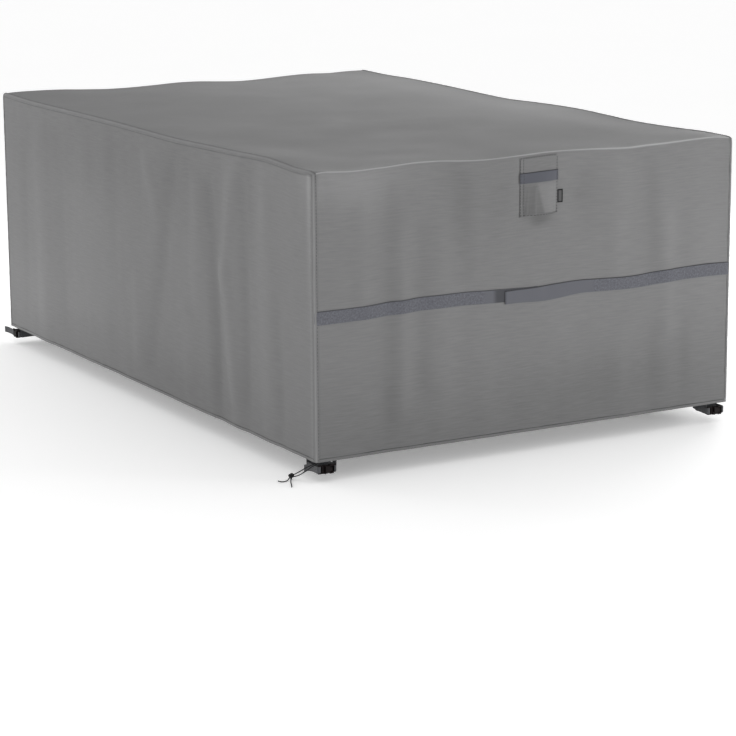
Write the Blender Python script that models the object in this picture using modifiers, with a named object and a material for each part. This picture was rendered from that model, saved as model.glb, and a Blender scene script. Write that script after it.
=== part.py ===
"""Fitted cloth cover for garden furniture, as it hangs: an open box of cloth, closed by a roof.

Metres, +Z up. The origin is the middle of the roof's underside, where the roof rests on what it
covers. The short wall with the vent faces -Y, and the long walls face -X and +X.
"""
from collections import namedtuple
from math import cos, exp, pi, radians, sin

import bmesh
import bpy
from mathutils import Matrix, Vector

# ---------------------------------------------------------------- driving dimensions (metres)
WIDTH = 1.410
LENGTH = 2.195
HEIGHT = 0.805
CLOTH = 0.002
GAP = 0.00035
MM = 0.001
WELD = 1e-6
NEAR = 1e-5

HALF_X = WIDTH / 2
HALF_Y = LENGTH / 2
TOP_Z = CLOTH
HEM_Z = TOP_Z - HEIGHT

# The roof turns over the two short edges without a seam. The side panels are sewn on round their
# outline, with a raised seam that lies across the corner.
FOLD_RADIUS = 0.016
FOLD_STEPS = 3
SEAM_TURN = 0.009
SEAM_STEPS = 2
SEAM_X = HALF_X - SEAM_TURN
SEAM_MIDDLE_X = HALF_X - SEAM_TURN * (1 - cos(pi / 4))
FLAP_END_X = SEAM_MIDDLE_X - 1.0 * MM
LAP = CLOTH + GAP

# Where the cloth is divided so that it can fold.
ROOF_STEP = 0.090
FRONT_STEP = 0.042
ROOF_ROW = 0.104
SIDE_STEP = 0.052
WALL_ROWS = (-0.070, -0.160, -0.270, -0.381, -0.419, -0.520, -0.620, -0.720)
WALL_DEPTH = 0.030

# Draping: how far a wave of an edge reaches into the roof and down a wall, and where folds die out.
ROOF_REACH = 0.26
WALL_REACH = 0.55
TOP_FADE = 0.13
CORNER_CALM = 0.085
CORNER_BLEND = 0.100
FOLD_END_FADE = 0.070
PULL_MIDDLE = -0.400
PULL_HALF = 0.020
PULL_FADE = 0.100
PULL_REACH = 0.250

Wave = namedtuple("Wave", "at rise_mm")
Fold = namedtuple("Fold", "top_at top_z low_at low_z half_width top_mm low_mm")
Swell = namedtuple("Swell", "x y half_x half_y rise_mm")

FRONT_EDGE = (
    Wave(-HALF_X, 0.0), Wave(-0.600, -1.5), Wave(-0.490, 0.2), Wave(-0.390, 4.7),
    Wave(-0.310, 3.8), Wave(-0.235, -1.0), Wave(-0.155, -3.1), Wave(-0.040, 0.0),
    Wave(0.050, 3.6), Wave(0.170, 1.2), Wave(0.255, -3.0), Wave(0.324, -6.0),
    Wave(0.394, -4.0), Wave(0.480, -1.0), Wave(0.570, 3.4), Wave(0.645, 4.8), Wave(HALF_X, 0.0),
)
BACK_EDGE = (
    Wave(-HALF_X, 0.0), Wave(-0.620, 2.9), Wave(-0.510, 1.3), Wave(-0.410, -4.7),
    Wave(-0.320, -7.4), Wave(-0.243, -7.0), Wave(-0.146, -5.0), Wave(-0.040, -2.5),
    Wave(0.034, -3.5), Wave(0.113, -7.7), Wave(0.205, -11.6), Wave(0.289, -10.3),
    Wave(0.361, -7.0), Wave(0.465, -4.4), Wave(0.571, -5.3), Wave(HALF_X, 0.0),
)
LEFT_EDGE = (
    Wave(-HALF_Y, -3.0), Wave(-1.050, -4.5), Wave(-0.985, -4.5), Wave(-0.910, -1.5),
    Wave(-0.836, 1.6), Wave(-0.757, 1.4), Wave(-0.600, -1.4), Wave(-0.435, -4.0),
    Wave(-0.265, -8.0), Wave(-0.090, -7.7), Wave(0.100, -6.0), Wave(0.290, -3.6),
    Wave(0.490, -1.2), Wave(0.690, -1.8), Wave(0.910, -1.0), Wave(HALF_Y, 0.0),
)
RIGHT_EDGE = (
    Wave(-HALF_Y, 0.0), Wave(-0.979, 2.6), Wave(-0.856, -1.3), Wave(-0.730, -5.3),
    Wave(-0.600, -7.8), Wave(-0.466, -5.0), Wave(-0.329, -0.6), Wave(-0.188, 0.1),
    Wave(-0.042, -4.2), Wave(0.107, -9.6), Wave(0.261, -9.0), Wave(0.420, -7.7),
    Wave(0.583, -4.7), Wave(0.752, -2.3), Wave(0.925, -3.3), Wave(HALF_Y, 0.0),
)
# The front wall's cloth is pulled up or down a little along the strap.
STRAP_PULL = (
    Wave(-HALF_X, 0.5), Wave(-0.542, 2.0), Wave(-0.382, 8.0), Wave(-0.219, 8.2), Wave(-0.113, 3.4),
    Wave(0.021, 0.2), Wave(0.134, 3.6), Wave(0.247, 0.6), Wave(0.364, -0.8), Wave(0.482, 4.2),
    Wave(0.600, 8.2), Wave(HALF_X, 8.0),
)
ROOF_SWELLS = (
    Swell(0.31, 0.44, 0.20, 0.26, 4.0), Swell(0.49, -0.23, 0.16, 0.22, 4.0),
    Swell(-0.17, 0.58, 0.20, 0.24, 4.0), Swell(-0.44, -0.71, 0.18, 0.24, -5.0),
    Swell(-0.37, 0.05, 0.16, 0.30, -5.0), Swell(0.16, -0.60, 0.20, 0.22, 2.5),
)

# Folds of a wall. A fold runs from its upper end to its lower end, and stands out (+) or in (-).
FRONT_FOLDS = (
    Fold(-0.600, -0.030, -0.585, -0.150, 0.060, 4.0, 3.0),
    Fold(-0.615, -0.120, -0.612, -0.370, 0.032, -3.5, -3.5),
    Fold(-0.555, -0.040, -0.553, -0.410, 0.028, 4.5, 3.5),
    Fold(-0.470, -0.060, -0.474, -0.803, 0.032, -4.0, -9.0),
    Fold(-0.428, -0.200, -0.424, -0.670, 0.026, 3.5, 5.5),
    Fold(-0.372, -0.200, -0.366, -0.620, 0.028, -3.5, -4.5),
    Fold(-0.297, -0.090, -0.290, -0.720, 0.040, 3.0, 4.0),
    Fold(-0.235, -0.020, -0.228, -0.310, 0.034, -4.5, -3.0),
    Fold(-0.160, -0.420, -0.140, -0.803, 0.050, 2.0, 4.0),
    Fold(0.177, -0.070, 0.180, -0.190, 0.044, -4.5, -3.5),
    Fold(0.060, -0.460, 0.080, -0.740, 0.100, 3.0, 3.0),
    Fold(0.305, -0.020, 0.300, -0.360, 0.042, 4.5, 4.0),
    Fold(0.315, -0.560, 0.320, -0.803, 0.042, 3.0, 5.0),
    Fold(0.403, -0.030, 0.420, -0.370, 0.032, -5.5, -4.0),
    Fold(0.420, -0.560, 0.424, -0.803, 0.034, -3.5, -6.5),
    Fold(0.475, -0.230, 0.480, -0.540, 0.030, 4.0, 4.0),
    Fold(0.536, -0.540, 0.542, -0.803, 0.032, -3.0, -5.5),
    Fold(0.608, -0.060, 0.606, -0.370, 0.036, 4.0, 3.0),
)
LEFT_FOLDS = (
    Fold(0.800, -0.030, 0.780, -0.803, 0.055, 3.5, 7.0),
    Fold(0.930, -0.200, 0.945, -0.803, 0.050, -2.0, -4.0),
    Fold(0.640, -0.100, 0.610, -0.803, 0.060, -2.0, -4.5),
    Fold(0.400, -0.260, 0.380, -0.620, 0.170, 4.0, 4.0),
    Fold(0.200, -0.060, 0.230, -0.803, 0.050, -2.5, -4.0),
    Fold(-0.035, -0.080, -0.085, -0.210, 0.036, 5.0, 3.0),
    Fold(-0.240, -0.020, -0.055, -0.700, 0.050, -5.5, -5.0),
    Fold(0.050, -0.480, 0.052, -0.730, 0.040, 3.0, 4.5),
    Fold(-0.380, -0.130, -0.370, -0.450, 0.044, 4.5, 3.5),
    Fold(-0.300, -0.520, -0.310, -0.803, 0.060, 2.0, 4.5),
    Fold(-0.470, -0.120, -0.514, -0.803, 0.036, -4.0, -9.0),
    Fold(-0.615, -0.030, -0.555, -0.360, 0.034, 5.5, 5.5),
    Fold(-0.555, -0.360, -0.634, -0.803, 0.034, 5.5, 10.0),
    Fold(-0.680, -0.040, -0.698, -0.803, 0.034, -4.5, -7.0),
    Fold(-0.810, -0.040, -0.832, -0.803, 0.048, 4.0, 6.0),
    Fold(-0.890, -0.430, -0.902, -0.803, 0.034, -3.0, -6.0),
)
BACK_FOLDS = (
    Fold(-0.500, -0.040, -0.520, -0.803, 0.070, 3.0, 7.0),
    Fold(-0.330, -0.050, -0.300, -0.803, 0.080, -4.0, -7.0),
    Fold(-0.060, -0.100, -0.090, -0.803, 0.090, 3.0, 5.0),
    Fold(0.190, -0.030, 0.210, -0.803, 0.080, -5.0, -8.0),
    Fold(0.390, -0.080, 0.360, -0.803, 0.070, 4.0, 6.0),
    Fold(0.520, -0.200, 0.530, -0.803, 0.060, -2.0, -5.0),
)
RIGHT_FOLDS = (
    Fold(-0.860, -0.050, -0.880, -0.803, 0.090, 3.0, 6.0),
    Fold(-0.610, -0.030, -0.640, -0.803, 0.090, -4.5, -8.0),
    Fold(-0.380, -0.060, -0.350, -0.803, 0.090, 4.0, 7.0),
    Fold(-0.110, -0.150, -0.130, -0.803, 0.090, -2.0, -5.0),
    Fold(0.150, -0.030, 0.190, -0.803, 0.100, -4.0, -6.0),
    Fold(0.430, -0.050, 0.400, -0.803, 0.100, 4.0, 7.0),
    Fold(0.690, -0.080, 0.720, -0.803, 0.090, -3.0, -6.0),
    Fold(0.880, -0.200, 0.860, -0.803, 0.080, 2.0, 5.0),
)

# Fastening strap across the front wall, in two halves. The right half lies over the left one.
STRAP_TOP = -0.381
STRAP_LOW = -0.419
STRAP_THICK = 0.002
STRAP_END_X = HALF_X - SEAM_TURN - 0.0012
STRAP_LEFT_STOP = 0.020
STRAP_RIGHT_START = -0.086
STRAP_STEP_LOW = 0.026
STRAP_STEP_HIGH = 0.044
STRAP_DROOP = 0.011
STRAP_DROOP_REACH = 0.200

# Vent: a hood sewn to the front wall along its top and sides, open below, with a band across it.
HOOD_LEFT = -0.043
HOOD_RIGHT = 0.084
HOOD_TOP = -0.007
HOOD_LOW = -0.175
HOOD_THICK = 0.0016
HOOD_STANDS = 0.027
HOOD_SEAM = 0.007
HOOD_COLUMNS = 8
HOOD_ROWS = (-0.022, -0.036, -0.065, -0.098, -0.120, -0.148)
BAND_TOP = -0.050
BAND_LOW = -0.080
BAND_THICK = 0.0018

# Bare woven tab, sewn in beside the vent.
TAB_LEFT = 0.0848
TAB_RIGHT = 0.105
TAB_TOP = -0.108
TAB_LOW = -0.148
TAB_THICK = 0.0012
TAB_LIFT = 0.0030

# Webbing and buckle at each corner. The webbing goes round an empty square.
SQUARE_HALF_X = 0.0280
SQUARE_HALF_Y = 0.0295
SQUARE_INSET = 0.0100
WEBBING = 0.0016
WEBBING_MIDDLE = -0.8250
WEBBING_HALF = 0.0100
WEBBING_BEND = 0.006
WEBBING_STOP = 0.0150
TAIL_HALF = 0.0100
HANGER_TOP = -0.757
HANGER_HEM = -0.7965
HANGER_FLANGE = 0.020
HANGER_TONGUE = 0.020
HANGER_TURN = 0.003
HANGER_SHOULDER = 0.0005

BUCKLE_HALF = 0.0130
SOCKET_LENGTH = 0.0265
SOCKET_THICK = 0.0105
SOCKET_BAR = 0.0095
SOCKET_BAR_THICK = 0.0050
PLUG_LENGTH = 0.0195
PLUG_THICK = 0.0052
SLOT_HALF = 0.0092
SLOT_LENGTH = 0.0075
BAR_WIDTH = 0.0040
BAR_INSET = 0.0018
BAR_SETBACK = 0.0004
JOINT_OVERLAP = 0.0020
PLUG_OVERHANG = 0.0015
SLOT_START = 0.0010
PRONG_HALF = 0.0020
PRONG_LENGTH = 0.0120
PRONG_ROOT = 0.0030
PRONG_INSET = 0.0003
PRONG_SLACK = 0.0006
NOTCH_DEPTH = 0.0042
NOTCH_MARGIN = 0.0020
NOTCH_REACH = 0.0040
CUT_REACH = 0.020
BUCKLE_BEVEL = 0.0012

CORD_RADIUS = 0.0016
CORD_STEP = 0.0085
KNOT_RADIUS = 0.0065
KNOT_STRETCH = 1.15

Corner = namedtuple("Corner", "name side_x side_y turn tail")
CORNERS = (
    Corner("front_left", -1, -1, 0.0, "wrapped"),
    Corner("front_right", 1, -1, 0.0, "raised"),
    Corner("back_left", -1, 1, -90.0, "straight"),
    Corner("back_right", 1, 1, 180.0, "wrapped"),
)

# Free tails of the webbing: plan position round the empty square, and the lift of the middle.
Tail = namedtuple("Tail", "x y lift")
TAILS = {
    "wrapped": (
        Tail(-0.0313, -0.0350, 0.000), Tail(-0.0312, -0.0290, 0.000), Tail(-0.0309, -0.0200, 0.000),
        Tail(-0.0308, 0.0000, -0.001), Tail(-0.0318, 0.0150, -0.003), Tail(-0.0340, 0.0260, -0.006),
        Tail(-0.0365, 0.0330, -0.0085),
    ),
    "raised": (
        Tail(-0.0313, -0.0360, 0.000), Tail(-0.0327, -0.0318, 0.000), Tail(-0.0328, -0.0250, 0.001),
        Tail(-0.0328, 0.0000, 0.003), Tail(-0.0336, 0.0150, 0.005), Tail(-0.0360, 0.0300, 0.007),
    ),
    "straight": (
        Tail(-0.0305, -0.0345, 0.000), Tail(-0.0370, -0.0352, 0.000), Tail(-0.0470, -0.0370, 0.001),
        Tail(-0.0580, -0.0395, 0.002), Tail(-0.0680, -0.0425, 0.003), Tail(-0.0780, -0.0460, 0.003),
    ),
}

# Drawcord at the front left corner: two strands leave the hem, meet in a knot and end in two tails.
FIRST_STRAND = (
    (-0.7005, -1.0865, -0.7925), (-0.7007, -1.0863, -0.8040), (-0.7060, -1.0835, -0.8095),
    (-0.7145, -1.0735, -0.8165), (-0.7230, -1.0600, -0.8260), (-0.7330, -1.0430, -0.8385),
    (-0.7415, -1.0285, -0.8480),
)
SECOND_STRAND = (
    (-0.6960, -1.0925, -0.7925), (-0.6962, -1.0923, -0.8050), (-0.7010, -1.0905, -0.8085),
    (-0.7115, -1.0800, -0.8185), (-0.7220, -1.0640, -0.8330), (-0.7320, -1.0455, -0.8460),
    (-0.7405, -1.0294, -0.8528),
)
KNOT_PLACE = (-0.7440, -1.0235, -0.8525)
FIRST_TAIL = (
    (-0.7502, -1.0260, -0.8543), (-0.7560, -1.0305, -0.8575), (-0.7630, -1.0345, -0.8600),
    (-0.7710, -1.0375, -0.8600), (-0.7785, -1.0380, -0.8600), (-0.7850, -1.0360, -0.8590),
    (-0.7915, -1.0345, -0.8565),
)
SECOND_TAIL = (
    (-0.7465, -1.0292, -0.8557), (-0.7545, -1.0410, -0.8590), (-0.7610, -1.0530, -0.8600),
    (-0.7680, -1.0680, -0.8600), (-0.7750, -1.0840, -0.8600), (-0.7830, -1.0990, -0.8600),
)

# name: base colour, roughness, metallic
FINISHES = {
    "cloth": ((0.20, 0.20, 0.205), 0.85, 0.0),
    "strap": ((0.135, 0.142, 0.165), 0.90, 0.0),
    "webbing": ((0.060, 0.062, 0.070), 0.80, 0.0),
    "plastic": ((0.010, 0.009, 0.010), 0.40, 0.0),
    "label": ((0.230, 0.230, 0.230), 0.70, 0.0),
    "cord": ((0.015, 0.015, 0.016), 0.70, 0.0),
}


# ---------------------------------------------------------------- small helpers
def clear_scene():
    for thing in list(bpy.data.objects):
        bpy.data.objects.remove(thing, do_unlink=True)


def new_collection(name):
    collection = bpy.data.collections.new(name)
    bpy.context.scene.collection.children.link(collection)
    return collection


def finish_material(name):
    """The Principled material of one finish, made on its first use."""
    material = bpy.data.materials.get(name)
    if material is None:
        colour, roughness, metallic = FINISHES[name]
        material = bpy.data.materials.new(name)
        material.use_nodes = True
        shader = material.node_tree.nodes["Principled BSDF"]
        shader.inputs["Base Color"].default_value = (*colour, 1.0)
        shader.inputs["Roughness"].default_value = roughness
        shader.inputs["Metallic"].default_value = metallic
    return material


def add_object(name, bm, finish, collection):
    """Put a bmesh into the scene as one named object, and free it."""
    mesh = bpy.data.meshes.new(name)
    bm.to_mesh(mesh)
    bm.free()
    mesh.materials.append(finish_material(finish))
    thing = bpy.data.objects.new(name, mesh)
    collection.objects.link(thing)
    return thing


def thicken(thing, thickness, offset):
    """Solidify an open sheet. An offset of -1 grows it inwards, 1 outwards, 0 both ways."""
    solid = thing.modifiers.new("thickness", "SOLIDIFY")
    solid.thickness = thickness
    solid.offset = offset
    solid.use_even_offset = True
    solid.use_rim = True


def ease(value):
    """Smooth step from 0 to 1."""
    value = min(max(value, 0.0), 1.0)
    return value * value * (3.0 - 2.0 * value)


def between(low, high, step):
    """Evenly spaced places strictly between two ends, at most one step apart."""
    count = max(1, round((high - low) / step))
    return [low + (high - low) * index / count for index in range(1, count)]


def spline_points(points, step):
    """Points a step apart on a smooth curve through the given ones."""
    route = [Vector(point) for point in points]
    ends = [2 * route[0] - route[1]] + route + [2 * route[-1] - route[-2]]
    placed = [route[0]]
    for before, start, stop, after in zip(ends, ends[1:], ends[2:], ends[3:]):
        pieces = max(1, round((stop - start).length / step))
        for index in range(1, pieces + 1):
            t = index / pieces
            placed.append(0.5 * (
                2 * start + (stop - before) * t
                + (2 * before - 5 * start + 4 * stop - after) * t * t
                + (3 * start - before - 3 * stop + after) * t ** 3
            ))
    return placed


# ---------------------------------------------------------------- how the cloth hangs
def wave_rise(table, at):
    """Height of a waving edge at a place along it, eased between the rows of its table."""
    for row, following in zip(table, table[1:]):
        if at <= following.at:
            share = ease((at - row.at) / (following.at - row.at))
            return (row.rise_mm + (following.rise_mm - row.rise_mm) * share) * MM
    return table[-1].rise_mm * MM


def fold_out(folds, along, z):
    """How far a wall stands out at a place along it and a height."""
    total = 0.0
    for fold in folds:
        share = (fold.top_z - z) / (fold.top_z - fold.low_z)
        inside = min(max(share, 0.0), 1.0)
        middle = fold.top_at + (fold.low_at - fold.top_at) * inside
        stand = fold.top_mm + (fold.low_mm - fold.top_mm) * inside
        beyond = max(z - fold.top_z, fold.low_z - z, 0.0)
        across = (along - middle) / fold.half_width
        total += stand * exp(-across * across) * (1.0 - ease(beyond / FOLD_END_FADE))
    return total * MM


def roof_rise(x, y):
    """Height of the roof over its rest plane: its four waving edges and its soft swells."""
    rise = wave_rise(FRONT_EDGE, x) * (1.0 - ease((y + HALF_Y) / ROOF_REACH))
    rise += wave_rise(BACK_EDGE, x) * (1.0 - ease((HALF_Y - y) / ROOF_REACH))
    rise += wave_rise(LEFT_EDGE, y) * (1.0 - ease((x + HALF_X) / ROOF_REACH))
    rise += wave_rise(RIGHT_EDGE, y) * (1.0 - ease((HALF_X - x) / ROOF_REACH))
    for swell in ROOF_SWELLS:
        across = (x - swell.x) / swell.half_x
        along = (y - swell.y) / swell.half_y
        rise += swell.rise_mm * MM * exp(-across * across - along * along)
    return rise


def strap_pull(x, y, z):
    """How far the cloth beside the strap is pulled up. The pull dies out above, below and behind."""
    share = 1.0 - ease((abs(z - PULL_MIDDLE) - PULL_HALF) / PULL_FADE)
    return wave_rise(STRAP_PULL, x) * share * (1.0 - ease((y + HALF_Y) / PULL_REACH))


def calm(along, half):
    """0 beside a corner, where the seam holds the wall straight, and 1 away from it."""
    return ease((half - abs(along) - CORNER_CALM) / CORNER_BLEND)


def drape(place):
    """Where a point of the flat, boxy cover comes to rest when the cover hangs."""
    x, y, z = place
    rise = roof_rise(x, y) * (1.0 - ease((TOP_Z - z) / WALL_REACH)) + strap_pull(x, y, z)
    hang = Vector((0.0, 0.0, rise))
    fade = ease((TOP_Z - z) / TOP_FADE)
    if y < WALL_DEPTH - HALF_Y:
        hang.y -= fold_out(FRONT_FOLDS, x, z) * fade * calm(x, HALF_X)
    if y > HALF_Y - WALL_DEPTH:
        hang.y += fold_out(BACK_FOLDS, x, z) * fade * calm(x, HALF_X)
    if x < WALL_DEPTH - HALF_X:
        hang.x -= fold_out(LEFT_FOLDS, y, z) * fade * calm(y, HALF_Y)
    if x > HALF_X - WALL_DEPTH:
        hang.x += fold_out(RIGHT_FOLDS, y, z) * fade * calm(y, HALF_Y)
    return place + hang


# ---------------------------------------------------------------- the cloth as one flat-sided shell
def cut(bm, axis, value, chosen=None):
    """Divide faces along a plane across one axis. chosen picks faces by their middle."""
    faces = [face for face in bm.faces if chosen is None or chosen(face.calc_center_median())]
    edges = {edge for face in faces for edge in face.edges}
    verts = {vert for face in faces for vert in face.verts}
    point = Vector((0.0, 0.0, 0.0))
    normal = Vector((0.0, 0.0, 0.0))
    point[axis] = value
    normal[axis] = 1.0
    geometry = list(verts) + list(edges) + faces
    bmesh.ops.bisect_plane(bm, geom=geometry, dist=WELD, plane_co=point, plane_no=normal)


def boxy_shell():
    """The cover's outer face before it hangs: a box without a floor, turned over at its edges."""
    bm = bmesh.new()
    place = Matrix.Translation((0.0, 0.0, TOP_Z - HEIGHT / 2))
    size = Matrix.Diagonal((WIDTH, LENGTH, HEIGHT, 1.0))
    bmesh.ops.create_cube(bm, size=1.0, matrix=place @ size)
    short_edges = [
        edge for edge in bm.edges
        if all(vert.co.z > 0.0 for vert in edge.verts) and edge.verts[0].co.y == edge.verts[1].co.y
    ]
    bmesh.ops.bevel(
        bm, geom=short_edges, offset=FOLD_RADIUS, segments=FOLD_STEPS, profile=0.5, affect="EDGES"
    )
    outline = [
        edge for edge in bm.edges
        if abs(edge.verts[0].co.x) > HALF_X - NEAR
        and abs(edge.verts[0].co.x - edge.verts[1].co.x) < NEAR
        and max(vert.co.z for vert in edge.verts) > HEM_Z + MM
    ]
    bmesh.ops.bevel(
        bm, geom=outline, offset=SEAM_TURN, segments=SEAM_STEPS, profile=0.5, affect="EDGES"
    )
    floor = [face for face in bm.faces if face.normal.z < -0.9]
    bmesh.ops.delete(bm, geom=floor, context="FACES")
    return bm


def divide_shell(bm):
    """Cut the shell into the small faces that let it fold, finer where the folds are."""
    fold_line = FOLD_RADIUS + MM
    for x in between(-SEAM_X, SEAM_X, ROOF_STEP):
        cut(bm, 0, x)
    for y in between(-HALF_Y, HALF_Y, ROOF_ROW):
        cut(bm, 1, y)
    for z in WALL_ROWS:
        cut(bm, 2, z)
    for x in between(-SEAM_X, SEAM_X, FRONT_STEP):
        cut(bm, 0, x, lambda middle: middle.y < fold_line - HALF_Y and abs(middle.x) < SEAM_X)
    for y in between(-HALF_Y, HALF_Y, SIDE_STEP):
        cut(bm, 1, y, lambda middle: middle.x < MM - SEAM_X)


def hang_shell():
    """The divided shell with two layers on its points: where each one hangs, and its way out."""
    bm = boxy_shell()
    divide_shell(bm)
    bmesh.ops.recalc_face_normals(bm, faces=bm.faces)
    hung = bm.verts.layers.float_vector.new("hung")
    outward = bm.verts.layers.float_vector.new("outward")
    flat = {vert: vert.co.copy() for vert in bm.verts}
    for vert in bm.verts:
        vert.co = drape(vert.co)
    bmesh.ops.triangulate(bm, faces=bm.faces)
    bm.normal_update()
    for vert in bm.verts:
        vert[hung] = vert.co
        vert[outward] = vert.normal * vert.calc_shell_factor()
    for vert, place in flat.items():
        vert.co = place
    return bm


def cloth_piece(shell, low, high, stand_off, lines=()):
    """A piece of the hung shell between two corners of a box that is measured on the flat shell.

    stand_off gives how far out a point lies, from its place on the flat shell. Each line is an
    axis and a value where the piece is divided once more.
    """
    bm = shell.copy()
    for axis in range(3):
        for value, keeps_above in ((low[axis], True), (high[axis], False)):
            if value is None:
                continue
            point = Vector((0.0, 0.0, 0.0))
            normal = Vector((0.0, 0.0, 0.0))
            point[axis] = value
            normal[axis] = 1.0
            bmesh.ops.bisect_plane(
                bm, geom=bm.verts[:] + bm.edges[:] + bm.faces[:], dist=WELD, plane_co=point,
                plane_no=normal, clear_inner=keeps_above, clear_outer=not keeps_above,
            )
    for axis, value in lines:
        cut(bm, axis, value)
    hung = bm.verts.layers.float_vector["hung"]
    outward = bm.verts.layers.float_vector["outward"]
    for vert in bm.verts:
        vert.co = vert[hung] + vert[outward] * stand_off(vert.co)
    bmesh.ops.triangulate(bm, faces=bm.faces)
    return bm


# ---------------------------------------------------------------- the sewn cloth
def build_panels(shell, collection):
    """The roof with both short walls in one piece, and the two side panels lapped over its edge."""
    main = cloth_piece(shell, (-FLAP_END_X, None, None), (FLAP_END_X, None, None), lambda flat: 0.0)
    thicken(add_object("main_panel", main, "cloth", collection), CLOTH, -1.0)

    def lap(flat):
        return LAP if abs(flat.x) < (HALF_X + SEAM_MIDDLE_X) / 2 else 0.0

    left = cloth_piece(shell, (None, None, None), (-SEAM_X, None, None), lap)
    thicken(add_object("side_panel_left", left, "cloth", collection), CLOTH, -1.0)
    right = cloth_piece(shell, (SEAM_X, None, None), (None, None, None), lap)
    thicken(add_object("side_panel_right", right, "cloth", collection), CLOTH, -1.0)


def build_strap(shell, collection):
    """Two halves of the fastening strap. The right half steps up where it lies on the left one."""
    front = WALL_DEPTH - HALF_Y
    left = cloth_piece(
        shell, (-STRAP_END_X, None, STRAP_LOW), (STRAP_LEFT_STOP, front, STRAP_TOP), lambda flat: GAP
    )
    thicken(add_object("strap_left", left, "strap", collection), STRAP_THICK, 1.0)

    def step_up(flat):
        share = ease((STRAP_STEP_HIGH - flat.x) / (STRAP_STEP_HIGH - STRAP_STEP_LOW))
        return GAP + (STRAP_THICK + 2 * GAP) * share

    right = cloth_piece(
        shell, (STRAP_RIGHT_START, None, STRAP_LOW), (STRAP_END_X, front, STRAP_TOP), step_up,
        lines=((0, STRAP_STEP_LOW), (0, STRAP_STEP_HIGH)),
    )
    for vert in right.verts:
        share = 1.0 - (vert.co.x - STRAP_RIGHT_START) / STRAP_DROOP_REACH
        vert.co.z -= STRAP_DROOP * ease(share)
    thicken(add_object("strap_right", right, "strap", collection), STRAP_THICK, 1.0)


def hood_stand(flat):
    """The hood lies on the wall along its top and sides, and stands off towards its open edge."""
    across = (flat.x - HOOD_LEFT - HOOD_SEAM) / (HOOD_RIGHT - HOOD_LEFT - 2 * HOOD_SEAM)
    down = (HOOD_TOP - flat.z) / (HOOD_TOP - HOOD_LOW)
    across = min(max(across, 0.0), 1.0)
    down = min(max(down, 0.0), 1.0)
    belly = sin(pi * across ** 1.15) ** 0.75 if 0.0 < across < 1.0 else 0.0
    return GAP + HOOD_STANDS * belly * down ** 1.4


def build_vent(shell, collection):
    """The vent's hood, the band across it and the bare tab beside it."""
    front = WALL_DEPTH - HALF_Y
    low, high = HOOD_LEFT + HOOD_SEAM, HOOD_RIGHT - HOOD_SEAM
    columns = [low + (high - low) * index / HOOD_COLUMNS for index in range(HOOD_COLUMNS + 1)]
    lines = [(0, x) for x in columns] + [(2, z) for z in HOOD_ROWS + (BAND_TOP, BAND_LOW)]
    hood = cloth_piece(
        shell, (HOOD_LEFT, None, HOOD_LOW), (HOOD_RIGHT, front, HOOD_TOP), hood_stand, lines
    )
    thicken(add_object("vent_hood", hood, "cloth", collection), HOOD_THICK, 1.0)

    def on_hood(flat):
        return hood_stand(flat) + HOOD_THICK + 2 * GAP

    band_lines = [(0, x) for x in columns] + [(2, HOOD_ROWS[2])]
    band = cloth_piece(
        shell, (HOOD_LEFT, None, BAND_LOW), (HOOD_RIGHT, front, BAND_TOP), on_hood, band_lines
    )
    thicken(add_object("vent_band", band, "strap", collection), BAND_THICK, 1.0)

    def lift(flat):
        return GAP + TAB_LIFT * (flat.x - TAB_LEFT) / (TAB_RIGHT - TAB_LEFT)

    tab = cloth_piece(shell, (TAB_LEFT, None, TAB_LOW), (TAB_RIGHT, front, TAB_TOP), lift)
    thicken(add_object("label_tab", tab, "label", collection), TAB_THICK, 1.0)


# ---------------------------------------------------------------- webbing and buckles
def ribbon(name, rows, finish, collection, thickness=WEBBING):
    """A standing strip through rows of x, y, lower z and upper z."""
    bm = bmesh.new()
    x, y, low, high = rows[0]
    pair = [bm.verts.new((x, y, low)), bm.verts.new((x, y, high))]
    edge = bm.edges.new(pair)
    for x, y, low, high in rows[1:]:
        grown = bmesh.ops.extrude_edge_only(bm, edges=[edge])["geom"]
        edge = next(item for item in grown if isinstance(item, bmesh.types.BMEdge))
        lower, upper = sorted(edge.verts, key=lambda vert: vert.co.z)
        lower.co = (x, y, low)
        upper.co = (x, y, high)
    thing = add_object(name, bm, finish, collection)
    thicken(thing, thickness, 0.0)
    return thing


def bend(centre_x, centre_y, radius, start, stop, steps=3):
    """Plan points of a round turn between two angles in degrees."""
    turns = [radians(start + (stop - start) * index / steps) for index in range(steps + 1)]
    return [(centre_x + radius * cos(turn), centre_y + radius * sin(turn)) for turn in turns]


def loop_rows():
    """Plan of the webbing: from the plug's bar round three sides to the socket's bar."""
    reach_y = SQUARE_HALF_Y + WEBBING / 2
    across = SQUARE_HALF_X + WEBBING / 2 - WEBBING_BEND
    along = reach_y - WEBBING_BEND
    plan = [(-WEBBING_STOP, -reach_y)]
    plan += bend(-across, -along, WEBBING_BEND, 270, 180)
    plan += bend(-across, along, WEBBING_BEND, 180, 90)
    plan += bend(across, along, WEBBING_BEND, 90, 0)
    plan += bend(across, -along, WEBBING_BEND, 0, -90)
    plan += [(WEBBING_STOP, -reach_y)]
    low = WEBBING_MIDDLE - WEBBING_HALF
    high = WEBBING_MIDDLE + WEBBING_HALF
    return [(x, y, low, high) for x, y in plan]


def tail_rows(kind):
    """The free end of the webbing, over the plug's bar and on along or away from the webbing."""
    rows = []
    for tail in TAILS[kind]:
        middle = WEBBING_MIDDLE + tail.lift
        rows.append((tail.x, tail.y, middle - TAIL_HALF, middle + TAIL_HALF))
    return rows


def box(bm, low, high):
    """Add a box between two corners to a bmesh."""
    centre = [(a + b) / 2 for a, b in zip(low, high)]
    size = [b - a for a, b in zip(low, high)]
    place = Matrix.Translation(centre) @ Matrix.Diagonal((*size, 1.0))
    bmesh.ops.create_cube(bm, size=1.0, matrix=place)


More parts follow.
